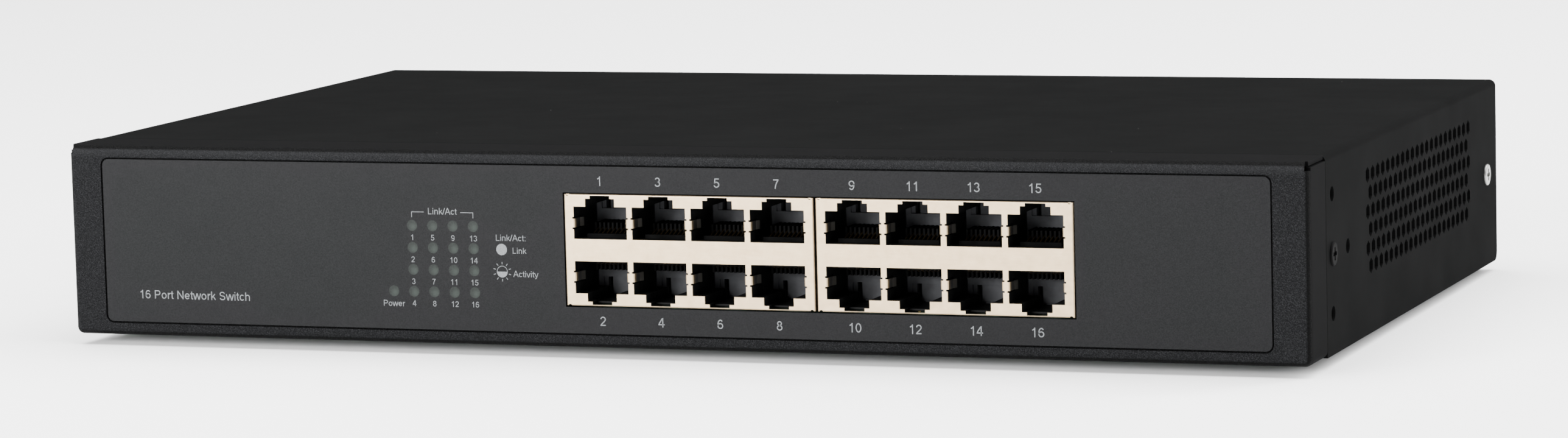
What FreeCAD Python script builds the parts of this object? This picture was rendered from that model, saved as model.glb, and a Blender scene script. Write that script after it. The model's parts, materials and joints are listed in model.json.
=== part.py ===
import FreeCAD, Part
import Sketcher
import math
import os

# A sixteen-port desktop network switch in a folded-steel case, in millimetres.
# X runs to the right, Y to the back and Z up.  The origin is on the surface that the switch
# stands on, under the middle of the case, and the rubber feet touch Z = 0.

DIMENSIONS = {
    # Case
    "case_width": 294, "case_depth": 180, "case_height": 44,
    "sheet_thick": 1.0, "bend_radius": 1.6, "seam_gap": 0.25, "fit_gap": 0.15,
    "front_pan_depth": 13.85, "corner_notch": 1.1, "corner_slit": 0.3,
    "flange_inset": 0.5, "slit_depth": 0.85,
    "tab_length": 26, "tab_drop": 1.2, "flange_tab_length": 10, "flange_tab_margin": 7,
    "side_lip_height": 9, "rear_return": 13, "cover_corner_radius": 2.25,
    # Case holes, measured back from the front face and from mid-height
    "rack_row_back": 19.4, "rack_row_spread": 26, "rack_middle_back": 32.8,
    "rack_hole_radius": 1.65, "thread_radius": 1.25, "screw_hole_radius": 1.65,
    "rear_screw_back": 169.2,
    # Side vents: hexagons in six staggered rows
    "vent_radius": 1.8, "vent_pitch": 4.707, "vent_row_pitch": 4.09, "vent_start_back": 51.1,
    "vent_top_row": 13.45,
    # Front overlay and its recess
    "overlay_width": 277, "overlay_height": 37.55, "overlay_thick": 0.25,
    "overlay_radius": 1.5, "recess_margin": 0.4, "recess_depth": 0.35,
    # Indicators
    "led_left": -61.05, "led_lowest": 11.82, "led_pitch_across": 4.98, "led_pitch_up": 4.99,
    "power_led_left": -66.0, "window_radius": 1.25, "led_hole_radius": 1.5, "led_radius": 1.4,
    "led_length": 5.5, "holder_width": 4.6, "holder_depth": 10.5, "holder_bore_radius": 1.55,
    "holder_bore_depth": 6, "holder_cap": 2.4, "holder_clearance": 0.25,
    # Jack blocks of two by four ports
    "block_width": 59.0, "block_height": 25.1, "block_depth": 28, "block_gap": 0.5,
    "blocks_middle": 35.475, "block_margin": 0.3, "port_pitch": 13.97,
    "shield_thick": 0.25, "shield_bend": 0.3, "seam_notch_radius": 0.4,
    "port_half_width": 6.33, "port_floor": 2.5, "port_ceiling": 9.75,
    "latch_half_width": 3.485, "latch_ceiling": 11.55,
    "keyway_half_width": 2.35, "keyway_ceiling": 12.25,
    "finger_low": 5.05, "finger_high": 7.0, "finger_slot": 0.4, "finger_slot_depth": 0.35,
    "finger_bend_gap": 6.1, "finger_bend_back": 0.15, "finger_leg_gap": 5.98,
    "finger_leg_back": 0.5, "finger_knee_gap": 5.9, "finger_knee_back": 2.6,
    "finger_tip_gap": 5.35, "finger_length": 3.7,
    "finger_recess_half": 6.6, "finger_recess_depth": 4.3, "finger_recess_margin": 0.4,
    "housing_gap": 0.1, "cavity_half_width": 6.3, "cavity_margin": 0.05, "cavity_depth": 14,
    "cavity_ceiling": 11.8, "keyway_depth": 3,
    "shelf_half_width": 5.2, "shelf_low": 7.75, "shelf_depth": 0.5, "keyslot_across": -3.7,
    "keyslot_width": 1.1, "keyslot_depth": 2.5,
    "wire_pitch": 1.02, "wire_thick": 0.35, "wire_root_back": 4.5, "wire_root_lift": 0.45,
    "wire_top_back": 11.2, "wire_top_lift": 2.55, "wire_tip_back": 12.3, "wire_tip_lift": 2.25,
    "comb_front": 7.4, "comb_length": 6.2, "comb_height": 2.9, "tooth_thick": 0.45,
    "comb_base_thick": 0.25, "comb_base_width": 9.4,
    "root_bar_front": 3.6, "root_bar_depth": 0.8, "root_bar_height": 0.85,
    "tail_thick": 0.4, "tail_length": 2.9, "tail_first_back": 16.5, "tail_pitch": 2.54,
    "tail_pitch_across": 2.04,
    # Boards
    "board_thick": 1.6, "standoff_height": 6.8, "standoff_radius": 3.0,
    "board_hole_radius": 1.6, "board_left": -72, "board_right": 132,
    "board_front": -85, "board_back": 20,
    "power_left": -141, "power_right": -79, "power_front": -10, "power_back": 82,
    "film_thick": 0.4, "film_margin": 2,
    # Pieces on the main board
    "chip_side": 24, "chip_height": 1.4, "driver_side": 14, "driver_height": 1.2,
    "sink_side": 28, "sink_height": 12, "sink_base": 2.5, "fin_thick": 1.2, "fin_pitch": 3.35,
    "magnetics_length": 12.6, "magnetics_depth": 9.2, "magnetics_height": 6,
    "can_radius": 3.15, "can_height": 7.7, "coil_side": 10, "coil_height": 4,
    "coil_post_radius": 3.6, "coil_post_height": 0.6,
    # Pieces on the power board
    "bulk_radius": 8, "bulk_height": 25, "output_can_radius": 4, "output_can_height": 16,
    "core_length": 25, "core_depth": 7, "core_height": 24, "core_leg": 5.5,
    "winding_radius": 8.0, "winding_height": 13.5,
    "choke_radius": 7, "choke_wire_radius": 3.4, "choke_base": 1.0,
    "film_cap_length": 18, "film_cap_depth": 8, "film_cap_height": 15,
    "bridge_length": 16, "bridge_depth": 3.5, "bridge_height": 14, "bridge_lift": 2,
    "plate_thick": 2, "plate_length": 24, "plate_height": 28, "plate_foot": 6,
    "transistor_width": 10, "transistor_height": 15, "transistor_thick": 4.4,
    "transistor_lift": 5, "fuse_radius": 2.6, "fuse_cap_radius": 3, "fuse_length": 20,
    "fuse_cap_length": 5, "fuse_lift": 3.2,
    "header_length": 8, "header_depth": 6, "header_height": 7,
    # Mains inlet in the rear wall
    "inlet_middle": -110, "inlet_width": 27.0, "inlet_height": 19.6, "inlet_gap": 0.2,
    "inlet_depth": 24, "inlet_flange_width": 50, "inlet_flange_height": 22.6,
    "inlet_flange_thick": 1.5, "inlet_flange_radius": 3, "inlet_screw_spread": 40,
    "socket_width": 24.2, "socket_height": 16.4, "socket_cut": 4.2, "socket_depth": 16.5,
    "pin_width": 2.0, "pin_height": 4.0, "pin_length": 14.5, "pin_spread": 14,
    "pin_offset": 2.0, "pin_tail": 4.5,
    "lead_radius": 1.0, "bond_left": 62, "lug_radius": 3.2, "lug_thick": 0.8,
    # Fasteners and feet
    "side_head_radius": 2.6, "side_head_height": 0.55, "side_shank_length": 5,
    "side_head_rounding": 0.35, "side_cross_depth": 0.5,
    "small_head_radius": 2.5, "small_head_height": 1.5, "small_shank_length": 6,
    "small_head_rounding": 0.7, "small_cross_depth": 0.9,
    "cross_long": 1.45, "cross_wide": 0.42,
    "washer_radius": 4.2, "washer_thick": 0.8,
    "foot_height": 2.5, "foot_radius": 6, "foot_recess": 0.5, "foot_rounding": 0.6,
    "foot_across": 125, "foot_front": -60, "foot_back": 68,
}

FRONT = "(-dims.case_depth / 2)"
BACK = "(dims.case_depth / 2)"
LEFT = "(-dims.case_width / 2)"
RIGHT = "(dims.case_width / 2)"
BASE = "(dims.foot_height)"
FLOOR = "(dims.foot_height + dims.sheet_thick)"
TOP = "(dims.foot_height + dims.case_height)"
MIDDLE = "(dims.foot_height + dims.case_height / 2)"
TRAY_RIGHT = f"({RIGHT} - dims.sheet_thick - dims.fit_gap)"
BOARD_TOP = f"({FLOOR} + dims.standoff_height + dims.board_thick)"
BLOCK_STEP = "(dims.block_width + dims.block_gap)"

# Each view names the origin plane that a sketch lies on and the sign of that plane's normal
# along +Z, +Y or +X.
VIEWS = {"top": ("XY_Plane", 1), "front": ("XZ_Plane", -1), "side": ("YZ_Plane", 1)}
X_AXIS = FreeCAD.Vector(1, 0, 0)
Y_AXIS = FreeCAD.Vector(0, 1, 0)
Z_AXIS = FreeCAD.Vector(0, 0, 1)

PORTS_PER_ROW = 8
PORTS_PER_BLOCK_ROW = 4
WIRES_PER_PORT = 8

# Hand-placed spots of the pieces on the two boards, as (x, y)
MAIN_STANDOFFS = [(-67, -58), (-67, 14), (33, 14), (127, -58), (127, 14)]
POWER_STANDOFFS = [(-137, -6), (-83, -6), (-137, 60), (-83, 60)]
BOARD_CANS = [(-58, -14), (-48, -14), (-38, -14), (104, -22), (114, -22)]
BOARD_COILS = [(-56, -32), (-40, -32)]
DRIVER_CHIPS = [(5.7, -34), (65.2, -34)]
SWITCH_CHIP = (35.5, -14)
SMALL_CHIPS = [(0, -8, 5, 4, 1.8), (14, 4, 11.5, 4.5, 3.5), (-50, -48, 6.5, 6, 2.3), (80, -8, 9, 6, 2)]
BULK_SPOT = (-128, 12)
CORE_SPOT = (-106, 16)
OUTPUT_CANS = [(-112, -3), (-100, -3)]
CHOKE_SPOT = (-122, 34)
FILM_CAP_SPOT = (-102, 45)
BRIDGE_SPOT = (-102, 36)
PLATE_SPOT = (-86, 20)
FUSE_SPOT = (-135, 36)
MAINS_HEADER = (-122, 50)
SUPPLY_HEADER = (-86, 0)
BOARD_HEADER = (-63, 2)

doc = FreeCAD.newDocument("network_switch")
sheet = doc.addObject("Spreadsheet::Sheet", "dims")
for row, (alias, size) in enumerate(DIMENSIONS.items(), start=1):
    sheet.set(f"A{row}", alias)
    sheet.set(f"B{row}", str(size))
    sheet.setAlias(f"B{row}", alias)
doc.recompute()


# ---------------------------------------------------------------- helpers


def bind(item, formulas):
    """Ties each named property of an item to a formula."""
    for name, formula in formulas.items():
        item.setExpression(name, str(formula))


def place(item, x, y, z):
    """Ties an item's position to three formulas."""
    bind(item, {"Placement.Base.x": x, "Placement.Base.y": y, "Placement.Base.z": z})


def origin_feature(body, role):
    """One of the body's own origin axes or planes."""
    return [feature for feature in body.Origin.OriginFeatures if feature.Role == role][0]


def tie(sketch, kind, line, start_value, formula):
    """Fixes the start of a line, across or up from the sketch's origin."""
    constraint = Sketcher.Constraint(kind, -1, 1, line, 1, start_value)
    number = sketch.addConstraint(constraint)
    sketch.setExpression(f"Constraints[{number}]", str(formula))


def outline(corners):
    """A closed outline of straight lines through corners given as (across, up) formulas."""

    def draw(sketch):
        first = sketch.GeometryCount
        count = len(corners)
        turn = 2 * math.pi / count
        spots = [FreeCAD.Vector(math.cos(turn * n), math.sin(turn * n), 0) for n in range(count)]
        for number in range(count):
            sketch.addGeometry(Part.LineSegment(spots[number], spots[(number + 1) % count]))
        for number in range(count):
            following = first + (number + 1) % count
            joint = Sketcher.Constraint("Coincident", first + number, 2, following, 1)
            sketch.addConstraint(joint)
        for number, (across, up) in enumerate(corners):
            tie(sketch, "DistanceX", first + number, spots[number].x, across)
            tie(sketch, "DistanceY", first + number, spots[number].y, up)

    return draw


def rectangle(left, bottom, width, height):
    """A rectangle from its lower left corner and its size."""
    right = f"({left}) + ({width})"
    top = f"({bottom}) + ({height})"
    return outline([(left, bottom), (right, bottom), (right, top), (left, top)])


def disc(across, up, radius):
    """A circle from its centre and radius."""

    def draw(sketch):
        circle = Part.Circle(FreeCAD.Vector(1, 1, 0), Z_AXIS, 1)
        number = sketch.addGeometry(circle)
        for kind, formula in (("DistanceX", across), ("DistanceY", up)):
            constraint = sketch.addConstraint(Sketcher.Constraint(kind, -1, 1, number, 3, 1))
            sketch.setExpression(f"Constraints[{constraint}]", str(formula))
        constraint = sketch.addConstraint(Sketcher.Constraint("Radius", number, 1))
        sketch.setExpression(f"Constraints[{constraint}]", str(radius))

    return draw


def hexagon(across, up, radius):
    """A hexagon with a corner at its top and bottom."""
    side = f"({radius}) * sqrt(3) / 2"
    half = f"({radius}) / 2"
    corners = [(0, f"-({radius})"), (side, f"-({half})"), (side, half)]
    corners += [(0, radius), (f"-({side})", half), (f"-({side})", f"-({half})")]
    return outline([(f"({across}) + ({x})", f"({up}) + ({y})") for x, y in corners])


def new_body(name):
    """An empty body whose label names its node."""
    body = doc.addObject("PartDesign::Body", name)
    body.Label = name
    return body


def extrude(body, kind, view, start, length, *shapes):
    """A Pad or Pocket seen in one view, from start towards +Z, +Y or +X."""
    role, sign = VIEWS[view]
    sketch = body.newObject("Sketcher::SketchObject", f"{body.Label}_sketch")
    sketch.AttachmentSupport = [(origin_feature(body, role), "")]
    sketch.MapMode = "FlatFace"
    sketch.setExpression("AttachmentOffset.Base.z", f"{sign} * ({start})")
    for draw in shapes:
        draw(sketch)
    feature = body.newObject(f"PartDesign::{kind}", f"{body.Label}_{kind.lower()}")
    feature.Profile = sketch
    feature.Reversed = (kind == "Pad") == (sign < 0)
    feature.setExpression("Length", str(length))
    body.Tip = feature
    return feature


def pad(body, view, start, length, *shapes):
    return extrude(body, "Pad", view, start, length, *shapes)


def pocket(body, view, start, length, *shapes):
    return extrude(body, "Pocket", view, start, length, *shapes)


def repeat(body, feature, *steps):
    """Copies a feature: each step is an axis, a pitch formula and a count, or "mirror" and a plane."""
    transforms = []
    multi = body.newObject("PartDesign::MultiTransform", f"{body.Label}_copies")
    multi.Originals = [feature]
    for step in steps:
        if step[0] == "mirror":
            change = body.newObject("PartDesign::Mirrored", f"{body.Label}_mirror")
            change.MirrorPlane = (origin_feature(body, step[1]), [""])
        else:
            axis, pitch, count = step
            change = body.newObject("PartDesign::LinearPattern", f"{body.Label}_row")
            change.Direction = (origin_feature(body, axis), [""])
            change.setExpression("Length", f"({pitch}) * {count - 1}")
            change.Occurrences = count
        transforms.append(change)
    multi.Transformations = transforms
    body.Tip = multi
    return multi


def fillet(body, radius, wanted):
    """Rounds the edges that the test picks from their bounding boxes."""
    doc.recompute()
    base = body.Tip
    names = []
    for number, edge in enumerate(base.Shape.Edges, start=1):
        if wanted(edge.BoundBox):
            names.append(f"Edge{number}")
    feature = body.newObject("PartDesign::Fillet", f"{body.Label}_fillet")
    feature.Base = (base, names)
    feature.setExpression("Radius", str(radius))
    body.Tip = feature
    return feature


def near(first, second):
    """Whether two lengths agree to a tenth of a millimetre."""
    return abs(first - second) < 0.1


def block(name, x, y, z, length, width, height):
    """A box from its lowest corner and its size along X, Y and Z."""
    made = doc.addObject("Part::Box", name)
    place(made, x, y, z)
    bind(made, {"Length": length, "Width": width, "Height": height})
    return made


def centred_block(name, x, y, z, length, width, height):
    """A box standing at height z with its middle over (x, y)."""
    return block(name, f"{x} - ({length}) / 2", f"{y} - ({width}) / 2", z, length, width, height)


def rod(name, x, y, z, radius, length, axis=Z_AXIS):
    """A cylinder from the middle of its first end."""
    made = doc.addObject("Part::Cylinder", name)
    made.Placement.Rotation = FreeCAD.Rotation(Z_AXIS, axis)
    place(made, x, y, z)
    bind(made, {"Radius": radius, "Height": length})
    return made


def fuse(name, pieces):
    made = doc.addObject("Part::MultiFuse", name)
    made.Shapes = pieces
    return made


def cut(name, base, tool):
    made = doc.addObject("Part::Cut", name)
    made.Base = base
    made.Tool = tool
    return made


def group(name, pieces):
    """Separate solids that share one node."""
    made = doc.addObject("Part::Compound", name)
    made.Links = pieces
    made.Label = name
    return made


def labelled(name, made):
    made.Label = name
    return made


# ---------------------------------------------------------------- folded case


def chassis_tray():
    """Floor, front pan, rear wall and the tabs that the cover is screwed to, in one sheet."""
    body = new_body("chassis_tray")
    pad(body, "front", FRONT, "dims.front_pan_depth",
        rectangle(LEFT, BASE, "dims.case_width", "dims.case_height"))
    front = -DIMENSIONS["case_depth"] / 2
    base = DIMENSIONS["foot_height"]
    fillet(body, "dims.bend_radius", lambda box: near(box.YMin, front) and near(box.YMax, front)
           or near(box.XMin, box.XMax) and near(box.ZMax, base))
    pocket(body, "front", f"{FRONT} + dims.sheet_thick", "dims.front_pan_depth",
           rectangle(f"{LEFT} + dims.sheet_thick", FLOOR, "dims.case_width - 2 * dims.sheet_thick",
                     "dims.case_height - 2 * dims.sheet_thick"))

    pan_back = f"({FRONT} + dims.front_pan_depth)"
    width = f"(2 * {TRAY_RIGHT})"
    pad(body, "top", BASE, "dims.sheet_thick",
        rectangle(f"-{TRAY_RIGHT}", f"{pan_back} - dims.sheet_thick", width,
                  f"dims.case_depth - dims.front_pan_depth + dims.sheet_thick"))
    rear_height = "(dims.case_height - dims.sheet_thick - 2 * dims.fit_gap)"
    pad(body, "front", f"{BACK} - dims.sheet_thick", "dims.sheet_thick",
        rectangle(f"-{TRAY_RIGHT}", BASE, width, rear_height))

    # Side lips and the returns behind the rear wall
    lip = pad(body, "side", f"{TRAY_RIGHT} - dims.sheet_thick", "dims.sheet_thick",
              rectangle(f"{pan_back} + 2 * dims.tab_length", BASE,
                        f"{BACK} - {pan_back} - 2 * dims.tab_length", "dims.side_lip_height"))
    repeat(body, lip, ("mirror", "YZ_Plane"))
    rear_return = pad(body, "side", f"{TRAY_RIGHT} - dims.sheet_thick", "dims.sheet_thick",
                      rectangle(f"{BACK} - dims.rear_return", BASE, "dims.rear_return", rear_height))
    repeat(body, rear_return, ("mirror", "YZ_Plane"))

    # Joggled tabs under the cover: one along the top, one at each side
    joggle_front = f"({pan_back} - dims.sheet_thick)"
    tab_top = f"({TOP} - dims.tab_drop)"
    pad(body, "side", f"{LEFT} + dims.flange_tab_margin",
        "dims.case_width - 2 * dims.flange_tab_margin",
        outline([(joggle_front, f"{tab_top} - dims.sheet_thick"),
                 (f"{pan_back} + dims.flange_tab_length", f"{tab_top} - dims.sheet_thick"),
                 (f"{pan_back} + dims.flange_tab_length", tab_top),
                 (pan_back, tab_top),
                 (pan_back, f"{TOP} - dims.sheet_thick / 2"),
                 (joggle_front, f"{TOP} - dims.sheet_thick / 2")]))
    tab_right = f"({RIGHT} - dims.tab_drop)"
    side_tab = pad(body, "top", f"{BASE} + dims.flange_tab_margin",
                   "dims.case_height - 2 * dims.flange_tab_margin",
                   outline([(f"{tab_right} - dims.sheet_thick", joggle_front),
                            (f"{RIGHT} - dims.sheet_thick / 2", joggle_front),
                            (f"{RIGHT} - dims.sheet_thick / 2", pan_back),
                            (tab_right, pan_back),
                            (tab_right, f"{pan_back} + dims.tab_length"),
                            (f"{tab_right} - dims.sheet_thick", f"{pan_back} + dims.tab_length")]))
    repeat(body, side_tab, ("mirror", "YZ_Plane"))

    # Corner relief where the top and side bends meet, the flange's set-in ends and the slits under them
    notch = pocket(body, "front", FRONT, "dims.bend_radius",
                   rectangle(f"{RIGHT} - dims.corner_notch", f"{TOP} - 2 * dims.sheet_thick",
                             "dims.corner_notch", "2 * dims.sheet_thick"))
    repeat(body, notch, ("mirror", "YZ_Plane"))
    for depth, low, height in (("dims.flange_inset", f"{TOP} - dims.sheet_thick", "dims.sheet_thick"),
                               ("dims.slit_depth", f"{TOP} - dims.sheet_thick - dims.corner_slit",
                                "dims.corner_slit")):
        step = pocket(body, "side", f"{RIGHT} - {depth}", depth,
                      rectangle(f"{FRONT} + dims.bend_radius", low,
                                "dims.front_pan_depth - dims.bend_radius", height))
        repeat(body, step, ("mirror", "YZ_Plane"))

    # Recess for the overlay, jack opening and indicator holes
    pocket(body, "front", FRONT, "dims.recess_depth",
           rectangle("-dims.overlay_width / 2 - dims.recess_margin",
                     f"{MIDDLE} - dims.overlay_height / 2 - dims.recess_margin",
                     "dims.overlay_width + 2 * dims.recess_margin",
                     "dims.overlay_height + 2 * dims.recess_margin"))
    recess_half = DIMENSIONS["overlay_width"] / 2 + DIMENSIONS["recess_margin"]
    fillet(body, "dims.overlay_radius + dims.recess_margin",
           lambda box: near(abs(box.XMin), recess_half) and near(box.XMin, box.XMax)
           and near(box.ZMin, box.ZMax) and near(box.YMin, front) and box.YLength > 0.1)
    pocket(body, "front", FRONT, "2 * dims.sheet_thick", *jack_opening("dims.block_margin"))
    hole_grid(body, "dims.led_hole_radius", FRONT, "2 * dims.sheet_thick")

    # Holes in the side tabs, the rear returns and the rear wall
    rack_row = f"{FRONT} + dims.rack_row_back"
    pocket(body, "side", LEFT, "dims.case_width",
           disc(rack_row, f"{MIDDLE} + dims.rack_row_spread / 2", "dims.rack_hole_radius"),
           disc(rack_row, f"{MIDDLE} - dims.rack_row_spread / 2", "dims.rack_hole_radius"),
           disc(f"{FRONT} + dims.rack_middle_back", MIDDLE, "dims.rack_hole_radius"),
           disc(rack_row, MIDDLE, "dims.thread_radius"),
           disc(f"{FRONT} + dims.rear_screw_back", MIDDLE, "dims.thread_radius"))
    inlet_left = "(dims.inlet_middle - dims.inlet_width / 2 - dims.inlet_gap)"
    pocket(body, "front", f"{BACK} - dims.sheet_thick", "dims.sheet_thick",
           rectangle(inlet_left, f"{MIDDLE} - dims.inlet_height / 2 - dims.inlet_gap",
                     "dims.inlet_width + 2 * dims.inlet_gap", "dims.inlet_height + 2 * dims.inlet_gap"),
           disc("dims.inlet_middle - dims.inlet_screw_spread / 2", MIDDLE, "dims.thread_radius"),
           disc("dims.inlet_middle + dims.inlet_screw_spread / 2", MIDDLE, "dims.thread_radius"),
           disc("-dims.bond_left", MIDDLE, "dims.thread_radius"))

    # Shallow seats that keep the feet in place
    pocket(body, "top", BASE, "dims.foot_recess",
           *[disc(x, y, "dims.foot_radius + dims.fit_gap") for x, y in foot_spots()])
    return body


def jack_opening(margin):
    """One opening for both jack blocks, as a list of shapes."""
    width = f"(2 * dims.block_width + dims.block_gap + 2 * {margin})"
    height = f"(dims.block_height + 2 * {margin})"
    return [rectangle(f"dims.blocks_middle - {width} / 2", f"{MIDDLE} - {height} / 2", width, height)]


def hole_grid(body, radius, start, depth):
    """Sixteen port indicator holes and the power indicator's hole."""
    lowest = f"{BASE} + dims.led_lowest"
    hole = pocket(body, "front", start, depth, disc("dims.led_left", lowest, radius))
    repeat(body, hole, ("X_Axis", "dims.led_pitch_across", 4), ("Z_Axis", "dims.led_pitch_up", 4))
    pocket(body, "front", start, depth, disc("dims.power_led_left", lowest, radius))


def foot_spots():
    """The middles of the four feet."""
    return [(x, y) for x in ("-dims.foot_across", "dims.foot_across")
            for y in ("dims.foot_front", "dims.foot_back")]


def top_cover():
    """A U of sheet over the tray, with its vents and screw holes."""
    body = new_body("top_cover")
    start = f"({FRONT} + dims.front_pan_depth + dims.seam_gap)"
    length = "(dims.case_depth - dims.front_pan_depth - dims.seam_gap)"
    pad(body, "front", start, length,
        rectangle(LEFT, BASE, "dims.case_width", "dims.case_height"))
    top = DIMENSIONS["foot_height"] + DIMENSIONS["case_height"]
    half_width = DIMENSIONS["case_width"] / 2
    fillet(body, "dims.bend_radius",
           lambda box: near(box.ZMin, top) and near(box.ZMax, top) and near(box.XMin, box.XMax))
    back = DIMENSIONS["case_depth"] / 2
    base = DIMENSIONS["foot_height"]
    pocket(body, "front", start, length,
           rectangle(f"{LEFT} + dims.sheet_thick", BASE, "dims.case_width - 2 * dims.sheet_thick",
                     "dims.case_height - dims.sheet_thick"))
    inner = half_width - DIMENSIONS["sheet_thick"]
    fillet(body, "dims.bend_radius - dims.sheet_thick",
           lambda box: near(abs(box.XMin), inner) and near(box.XMin, box.XMax)
           and near(box.ZMin, top - DIMENSIONS["sheet_thick"]) and near(box.ZMin, box.ZMax))
    fillet(body, "dims.cover_corner_radius",
           lambda box: near(box.YMin, back) and near(box.YMax, back) and near(box.ZMin, base)
           and near(box.ZMax, base))

    # Vents: three rows of twenty-two hexagons with three rows of twenty-one between them
    first_row = f"({MIDDLE} + dims.vent_top_row - 5 * dims.vent_row_pitch)"
    vent_start = f"({FRONT} + dims.vent_start_back)"
    for row, count in ((0, 21), (1, 22)):
        shift = "dims.vent_pitch / 2" if row == 0 else "0"
        vent = pocket(body, "side", LEFT, "dims.case_width",
                      hexagon(f"{vent_start} + {shift}", f"{first_row} + {row} * dims.vent_row_pitch",
                              "dims.vent_radius"))
        repeat(body, vent, ("Y_Axis", "dims.vent_pitch", count),
               ("Z_Axis", "2 * dims.vent_row_pitch", 3))

    rack_row = f"{FRONT} + dims.rack_row_back"
    pocket(body, "side", LEFT, "dims.case_width",
           disc(rack_row, f"{MIDDLE} + dims.rack_row_spread / 2", "dims.rack_hole_radius"),
           disc(rack_row, f"{MIDDLE} - dims.rack_row_spread / 2", "dims.rack_hole_radius"),
           disc(f"{FRONT} + dims.rack_middle_back", MIDDLE, "dims.rack_hole_radius"),
           disc(rack_row, MIDDLE, "dims.screw_hole_radius"),
           disc(f"{FRONT} + dims.rear_screw_back", MIDDLE, "dims.screw_hole_radius"))
    return body


def front_overlay():
    """The printed label in the front recess, open at the jacks and the indicators."""
    body = new_body("front_overlay")
    start = f"({FRONT} + dims.recess_depth - dims.overlay_thick)"
    pad(body, "front", start, "dims.overlay_thick",
        rectangle("-dims.overlay_width / 2", f"{MIDDLE} - dims.overlay_height / 2",
                  "dims.overlay_width", "dims.overlay_height"))
    fillet(body, "dims.overlay_radius", lambda box: near(box.XMin, box.XMax) and box.ZLength < 0.1)
    pocket(body, "front", start, "dims.overlay_thick", *jack_opening("dims.block_margin"))
    hole_grid(body, "dims.window_radius", start, "dims.overlay_thick")
    return body


# ---------------------------------------------------------------- indicators


def indicator_columns(body, start, length, radius):
    """Round pieces behind every indicator hole."""
    lowest = f"{BASE} + dims.led_lowest"
    piece = pad(body, "front", start, length, disc("dims.led_left", lowest, radius))
    repeat(body, piece, ("X_Axis", "dims.led_pitch_across", 4), ("Z_Axis", "dims.led_pitch_up", 4))
    pad(body, "front", start, length, disc("dims.power_led_left", lowest, radius))
    return body


def indicator_windows():
    """Clear discs that fill the overlay's round windows."""
    start = f"({FRONT} + dims.recess_depth - dims.overlay_thick)"
    return indicator_columns(new_body("indicator_windows"), start, "dims.overlay_thick",
                             "dims.window_radius")


def indicator_leds():
    """A flat-nosed light-emitting diode in each bore of the holders."""
    return indicator_columns(new_body("indicator_leds"), f"{FRONT} + dims.recess_depth + 0.05",
                             "dims.led_length", "dims.led_radius")


def indicator_holders():
    """Four tall holders of four bores and a low one for the power indicator."""
    body = new_body("indicator_holders")
    start = f"({FRONT} + dims.sheet_thick + dims.holder_clearance)"
    top = f"({BASE} + dims.led_lowest + 3 * dims.led_pitch_up + dims.holder_cap)"
    column = pad(body, "front", start, "dims.holder_depth",
                 rectangle("dims.led_left - dims.holder_width / 2", BOARD_TOP, "dims.holder_width",
                           f"{top} - {BOARD_TOP}"))
    repeat(body, column, ("X_Axis", "dims.led_pitch_across", 4))
    low_top = f"({BASE} + dims.led_lowest + dims.holder_cap)"
    pad(body, "front", start, "dims.holder_depth",
        rectangle("dims.power_led_left - dims.holder_width / 2", BOARD_TOP, "dims.holder_width",
                  f"{low_top} - {BOARD_TOP}"))
    hole_grid(body, "dims.holder_bore_radius", start, "dims.holder_bore_depth")
    return body


# ---------------------------------------------------------------- jack blocks


def block_body(name, side):
    """A body centred on the face of the left (0) or right (1) jack block."""
    body = new_body(name)
    place(body, f"dims.blocks_middle + {side - 0.5} * {BLOCK_STEP}", FRONT, MIDDLE)
    return body


FIRST_PORT = f"({(1 - PORTS_PER_BLOCK_ROW) / 2} * dims.port_pitch)"
PORT_ROW = ("X_Axis", "dims.port_pitch", PORTS_PER_BLOCK_ROW)


def port_outline(middle, flip, half_width, margin, slots):
    """The stepped shape of one port; flip is 1 with the latch at the top and -1 at the bottom.

    The shield's openings have slots beside the fingers and a full keyway; the housing's have not.
    """
    keyway_top = "dims.keyway_ceiling" if slots else "dims.cavity_ceiling"
    right = [(half_width, f"dims.port_floor - {margin}")]
    if slots:
        deep = f"{half_width} + dims.finger_slot_depth"
        for low in ("dims.finger_low - dims.finger_slot", "dims.finger_high"):
            right += [(half_width, low), (deep, low)]
            right += [(deep, f"{low} + dims.finger_slot"), (half_width, f"{low} + dims.finger_slot")]
    right += [(half_width, f"dims.port_ceiling + {margin}"),
              (f"dims.latch_half_width - {margin}", f"dims.port_ceiling + {margin}"),
              (f"dims.latch_half_width - {margin}", "dims.latch_ceiling"),
              (f"dims.keyway_half_width - {margin}", "dims.latch_ceiling"),
              (f"dims.keyway_half_width - {margin}", keyway_top)]
    left = [(f"-({across})", up) for across, up in reversed(right)]
    return outline([(f"{middle} + {across}", f"{flip} * ({up})") for across, up in right + left])


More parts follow.
